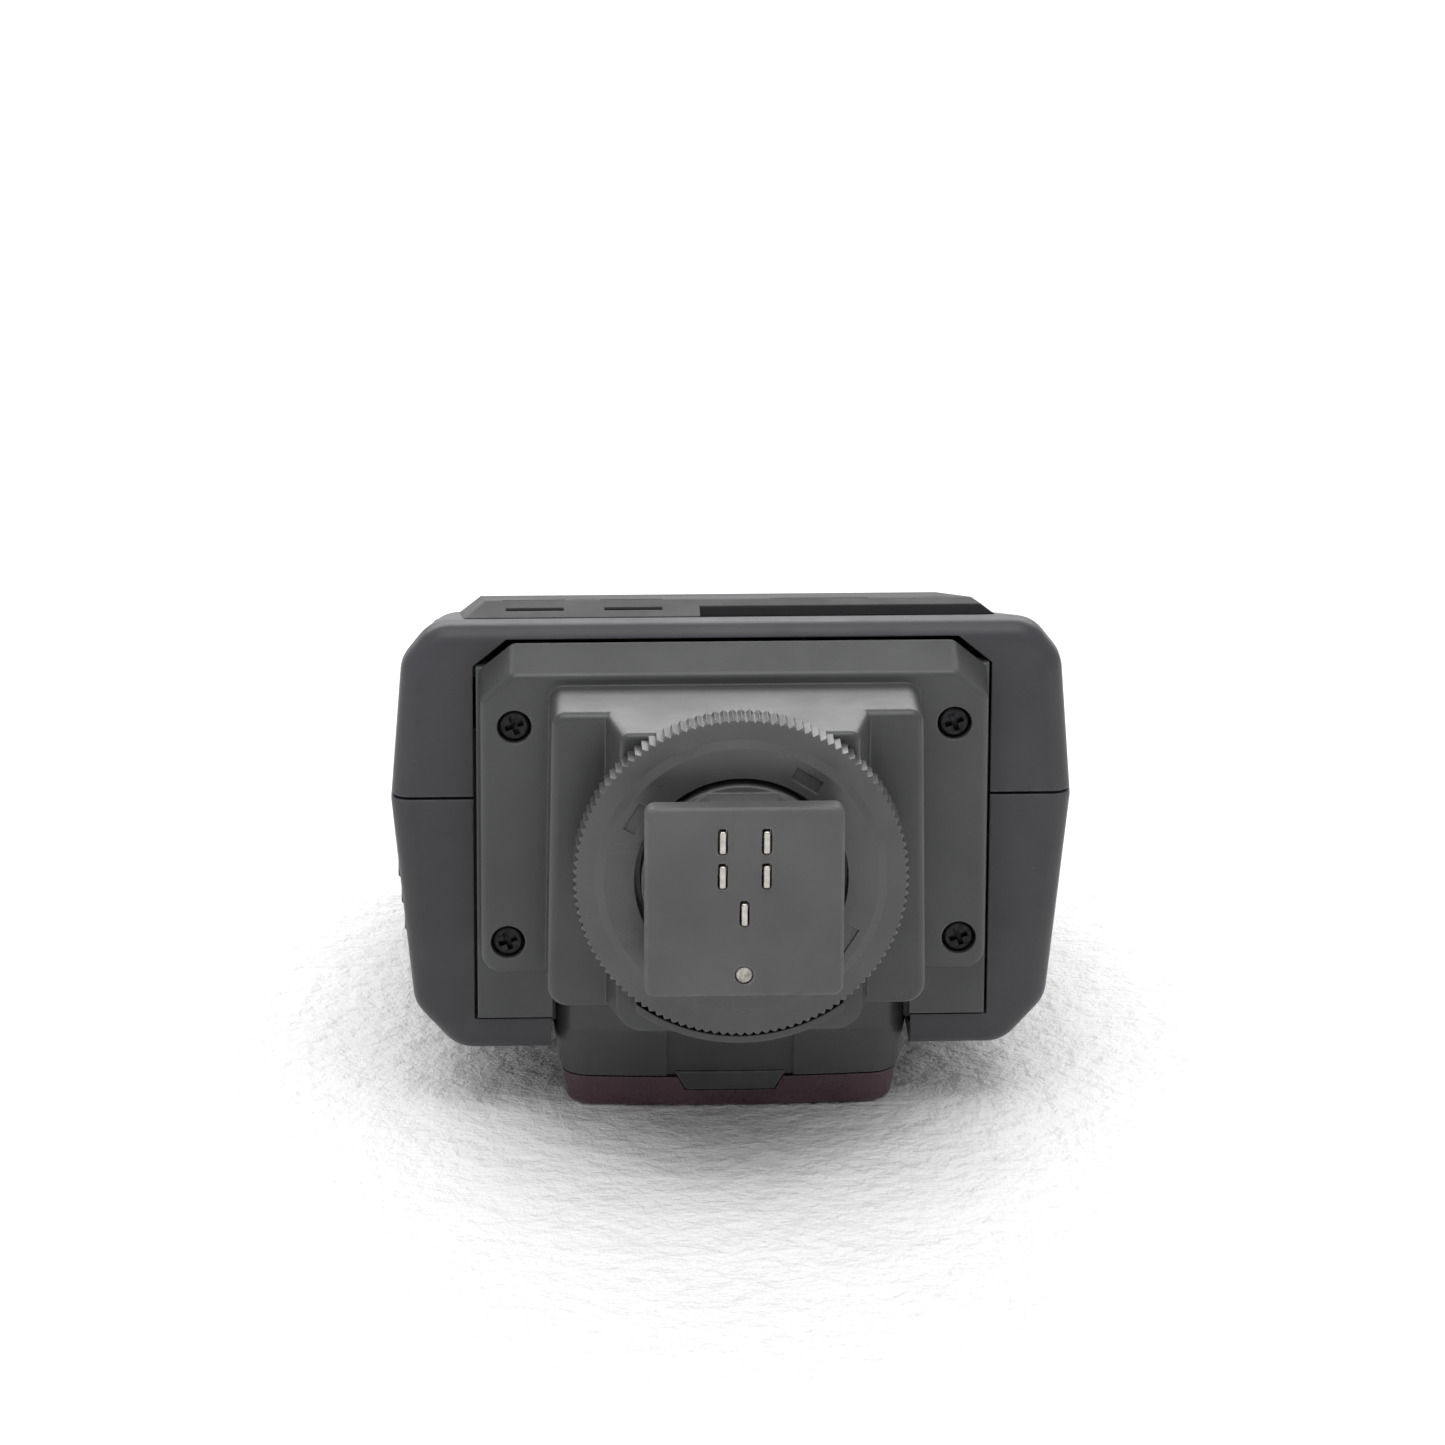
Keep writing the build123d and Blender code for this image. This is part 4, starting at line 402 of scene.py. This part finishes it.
# ---------------------------------------------------------------- camera, floor and light
def make_camera():
    """Camera on the foot's axis side, turned so that the foot sits off the frame's centre."""
    data = bpy.data.cameras.new("camera")
    data.sensor_width = SENSOR
    data.lens = SENSOR * FOCAL_IN_FRAMES
    data.clip_start = CLIP_START
    data.clip_end = CLIP_END
    camera = bpy.data.objects.new("camera", data)
    bpy.context.scene.collection.objects.link(camera)
    azimuth = math.radians(CAMERA_AZIMUTH)
    elevation = math.radians(CAMERA_ELEVATION)
    back = Vector((math.sin(azimuth) * math.cos(elevation), -math.cos(azimuth) * math.cos(elevation),
                   math.sin(elevation)))
    right = Vector((0, 0, 1)).cross(back).normalized()
    up = back.cross(right)
    toward_foot = Matrix((right, up, back)).transposed()
    aside = FOOT_RIGHT_OF_CENTRE / FOCAL_IN_FRAMES
    below = FOOT_BELOW_CENTRE / FOCAL_IN_FRAMES
    ray = Vector((aside, -below, -1)).normalized()
    off_axis = ray.rotation_difference(Vector((0, 0, -1))).to_matrix()
    roll = Matrix.Rotation(math.radians(CAMERA_ROLL), 3, "Z")
    turn = toward_foot @ roll @ off_axis
    camera.matrix_world = Matrix.Translation(FOOT_CENTRE + back * CAMERA_DISTANCE) @ turn.to_4x4()
    bpy.context.scene.camera = camera


def make_floor():
    """Pale floor under the flash."""
    mesh = bpy.data.meshes.new("floor")
    size = FLOOR_HALF_SIZE
    corners = [(-size, -size, 0), (size, -size, 0), (size, size, 0), (-size, size, 0)]
    mesh.from_pydata(corners, [], [(0, 1, 2, 3)])
    mesh.materials.append(floor_material("floor"))
    floor = bpy.data.objects.new("floor", mesh)
    bpy.context.scene.collection.objects.link(floor)


def area_light(name, place, aim, size, power, size_y=None):
    """Rectangular light that faces a point."""
    data = bpy.data.lights.new(name, "AREA")
    data.shape = "RECTANGLE"
    data.size = size
    data.size_y = size_y or size
    data.energy = power
    light = bpy.data.objects.new(name, data)
    bpy.context.scene.collection.objects.link(light)
    light.location = place
    light.rotation_mode = "QUATERNION"
    light.rotation_quaternion = (Vector(aim) - Vector(place)).to_track_quat("-Z", "Y")


def make_light():
    """Even white surroundings, two softboxes and two small ceiling lamps."""
    world = bpy.data.worlds.new("studio")
    world.use_nodes = True
    background = world.node_tree.nodes["Background"]
    background.inputs["Color"].default_value = (1, 1, 1, 1)
    background.inputs["Strength"].default_value = WORLD_STRENGTH
    bpy.context.scene.world = world
    area_light("overhead_softbox", OVERHEAD_PLACE, (0, 0, 0), OVERHEAD_SIZE, OVERHEAD_POWER)
    area_light("back_softbox", BACK_PLACE, BACK_AIM, BACK_WIDTH, BACK_POWER, BACK_HEIGHT)
    for x in CEILING_LAMP_XS:
        place = (x, CEILING_LAMP_Y, CEILING_LAMP_Z)
        area_light("ceiling_lamp", place, CEILING_LAMP_AIM, CEILING_LAMP_SIZE, CEILING_LAMP_POWER)


# ---------------------------------------------------------------- pieces
CELL_NAMES = ["battery_cell_1", "battery_cell_2", "battery_cell_3", "battery_cell_4"]
SPRING_WIRE_RADIUS = 0.35 * MM
SPRING_TURNS = 3.5
SPRING_POINTS_PER_TURN = 24
SPRING_SIDES = 8
SPRING_TIP_SHARE = 0.36
SPRING_WIDENING_SHARE = 0.26
SPRING_START_SHARE = 0.18
SPRING_LENGTH_SHARE = 0.64
FRESNEL_PITCH = 0.9 * MM
FRESNEL_DEPTH = 0.28 * MM
FRESNEL_CREST_SHARE = 0.12
WINDOW_CHAMFER = 0.45 * MM
WIRE_RADIUS = 0.45 * MM
WIRE_OFFSET = 1.6 * MM
WIRE_END_GAP = 0.1 * MM
WIRE_BOARD_INSET = 1.0 * MM
WIRE_BOARD_LIFT = 0.2 * MM
WIRE_BEND_REACH = 0.4 * MM
WIRE_BEND_RISE = 1.0 * MM
CHIP_COUNT = 4
CHIP_PITCH = 2.4 * MM
CHIP_MARGIN = 1.0 * MM
CHIP_LENGTH = 1.7 * MM
CHIP_WIDTH = 1.3 * MM
CHIP_HEIGHT = 0.8 * MM
CHIP_GAP = 0.03 * MM
CHIP_BEVEL = 0.1 * MM
SOLDER_WIDTH = 0.35 * MM
SOLDER_HEIGHT = 0.35 * MM


def add_mesh(name, bm, material, body="flash_body"):
    """Finish a bmesh as a piece that rides on a body."""
    mesh = bpy.data.meshes.new(name)
    bm.normal_update()
    bm.to_mesh(mesh)
    bm.free()
    mesh.materials.append(material)
    piece = bpy.data.objects.new(name, mesh)
    bpy.context.scene.collection.objects.link(piece)
    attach(piece, body)
    return piece


def smooth_path(points, steps=12):
    """Catmull-Rom line through a few points."""
    padded = [points[0], *points, points[-1]]
    path = []
    for first, second, third, fourth in zip(padded, padded[1:], padded[2:], padded[3:]):
        for step in range(steps):
            t = step / steps
            slope = (third - first) * t
            bend = (2 * first - 5 * second + 4 * third - fourth) * t * t
            twist = (3 * second - first - 3 * third + fourth) * t * t * t
            path.append(0.5 * (2 * second + slope + bend + twist))
    path.append(points[-1])
    return path


def add_tube(bm, path, radius, sides=10):
    """Closed round tube along a path, with flat ends."""
    rings = []
    normal = Vector((0, 0, 1))
    for index, point in enumerate(path):
        ahead = path[min(index + 1, len(path) - 1)] - path[max(index - 1, 0)]
        ahead.normalize()
        if abs(normal.dot(ahead)) > 0.98:
            normal = ahead.orthogonal()
        normal = (normal - ahead * normal.dot(ahead)).normalized()
        across = ahead.cross(normal)
        ring = []
        for side in range(sides):
            angle = 2 * math.pi * side / sides
            outward = math.cos(angle) * normal + math.sin(angle) * across
            ring.append(bm.verts.new(point + radius * outward))
        rings.append(ring)
    for ring, following in zip(rings, rings[1:]):
        for side in range(sides):
            corner = (side + 1) % sides
            face = bm.faces.new((ring[side], ring[corner], following[corner], following[side]))
            face.smooth = True
    bm.faces.new(list(reversed(rings[0])))
    bm.faces.new(rings[-1])


def add_block(bm, low, high, bevel):
    """Box with rounded edges between two corners."""
    made = bmesh.ops.create_cube(bm, size=1)["verts"]
    middle = (Vector(low) + Vector(high)) / 2
    span = Vector(high) - Vector(low)
    for vert in made:
        vert.co = Vector((vert.co.x * span.x, vert.co.y * span.y, vert.co.z * span.z)) + middle
    edges = list({edge for vert in made for edge in vert.link_edges})
    bmesh.ops.bevel(bm, geom=edges, offset=bevel, segments=3, affect="EDGES", profile=0.5)


def make_battery_springs():
    """Conical wire springs behind the flat end of each cell."""
    low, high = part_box("battery_springs")
    bm = bmesh.new()
    for index, name in enumerate(CELL_NAMES):
        cell_low, cell_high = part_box(name)
        middle = (cell_low + cell_high) / 2
        row, layer = divmod(index, 2)
        side = -1 if (row + layer) % 2 == 0 else 1
        cell_end = cell_low.x if side < 0 else cell_high.x
        wall = low.x if side < 0 else high.x
        radius = (cell_high.z - cell_low.z) / 2
        path = []
        count = int(SPRING_TURNS * SPRING_POINTS_PER_TURN)
        for step in range(count + 1):
            share = step / count
            angle = 2 * math.pi * SPRING_TURNS * share
            reach = radius * (SPRING_TIP_SHARE + SPRING_WIDENING_SHARE * share)
            x = cell_end + (wall - cell_end) * (SPRING_START_SHARE + SPRING_LENGTH_SHARE * share)
            y = middle.y + reach * math.cos(angle)
            z = middle.z + reach * math.sin(angle)
            path.append(Vector((x, y, z)))
        add_tube(bm, path, SPRING_WIRE_RADIUS, SPRING_SIDES)
    springs = add_mesh("battery_coil_springs", bm, STEEL)
    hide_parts("battery_springs")


def make_fresnel_window():
    """Clear window whose inner face is moulded into cylindrical Fresnel ridges."""
    low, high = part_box("flash_window")
    count = int((high.y - low.y - 2 * WINDOW_CHAMFER) / FRESNEL_PITCH)
    pitch = (high.y - low.y - 2 * WINDOW_CHAMFER) / count
    middle = (low.y + high.y) / 2
    profile = [(low.y, low.z + WINDOW_CHAMFER), (low.y + WINDOW_CHAMFER, low.z),
               (high.y - WINDOW_CHAMFER, low.z), (high.y, low.z + WINDOW_CHAMFER),
               (high.y, high.z), (high.y - WINDOW_CHAMFER, high.z)]
    for index in range(count):
        start = high.y - WINDOW_CHAMFER - index * pitch
        centre = start - pitch / 2
        crest = FRESNEL_CREST_SHARE if centre > middle else 1 - FRESNEL_CREST_SHARE
        profile.append((start - crest * pitch, high.z - FRESNEL_DEPTH))
        profile.append((start - pitch, high.z))
    profile.append((low.y, high.z))
    bm = bmesh.new()
    left = [bm.verts.new((low.x, y, z)) for y, z in profile]
    right = [bm.verts.new((high.x, y, z)) for y, z in profile]
    for index in range(len(profile)):
        following = (index + 1) % len(profile)
        bm.faces.new((left[index], left[following], right[following], right[index]))
    bm.faces.new(list(reversed(left)))
    bm.faces.new(right)
    bmesh.ops.recalc_face_normals(bm, faces=bm.faces)
    window = add_mesh("fresnel_window", bm, CLEAR_WINDOW)
    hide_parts("flash_window")


def make_board_parts():
    """Chip resistors and their solder joints beside the transformer."""
    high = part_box("main_board")[1]
    trafo_low, trafo_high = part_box("transformer")
    chips = bmesh.new()
    solder = bmesh.new()
    left = trafo_high.x + CHIP_MARGIN
    for index in range(CHIP_COUNT):
        y = trafo_low.y + (1 + index) * CHIP_PITCH
        far = y + CHIP_WIDTH
        right = left + CHIP_LENGTH
        add_block(chips, (left, y, high.z + CHIP_GAP), (right, far, high.z + CHIP_HEIGHT), CHIP_BEVEL)
        for start in (left - SOLDER_WIDTH - CHIP_GAP, right + CHIP_GAP):
            end = start + SOLDER_WIDTH
            add_block(solder, (start, y, high.z), (end, far, high.z + SOLDER_HEIGHT), CHIP_BEVEL)
    add_mesh("board_chips", chips, FERRITE)
    add_mesh("board_solder", solder, STEEL)


def make_wires():
    """Two insulated wires from the main board to the main capacitor."""
    board_low, board_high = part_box("main_board")
    can_low, can_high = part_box("main_capacitor")
    axis_z = (can_low.z + can_high.z) / 2
    axis_y = (can_low.y + can_high.y) / 2
    wires = (("wire_red", WIRE_OFFSET, LAMP_RED, "lamp_red"), ("wire_black", -WIRE_OFFSET, RUBBER, "rubber"))
    for name, offset, material, slot in wires:
        y = axis_y + offset
        end = Vector((can_high.x + WIRE_END_GAP, y, axis_z))
        start = Vector((board_low.x + WIRE_BOARD_INSET, y, board_high.z + WIRE_BOARD_LIFT))
        bend = Vector((board_low.x - WIRE_BEND_REACH, y, (start.z + end.z) / 2 + WIRE_BEND_RISE))
        bm = bmesh.new()
        add_tube(bm, smooth_path([end, bend, start]), WIRE_RADIUS)
        add_mesh(name, bm, material)


assign_materials()
make_camera()
make_floor()
make_light()
make_battery_springs()
make_fresnel_window()
make_board_parts()
make_wires()
bpy.context.scene.view_settings.view_transform = "Standard"
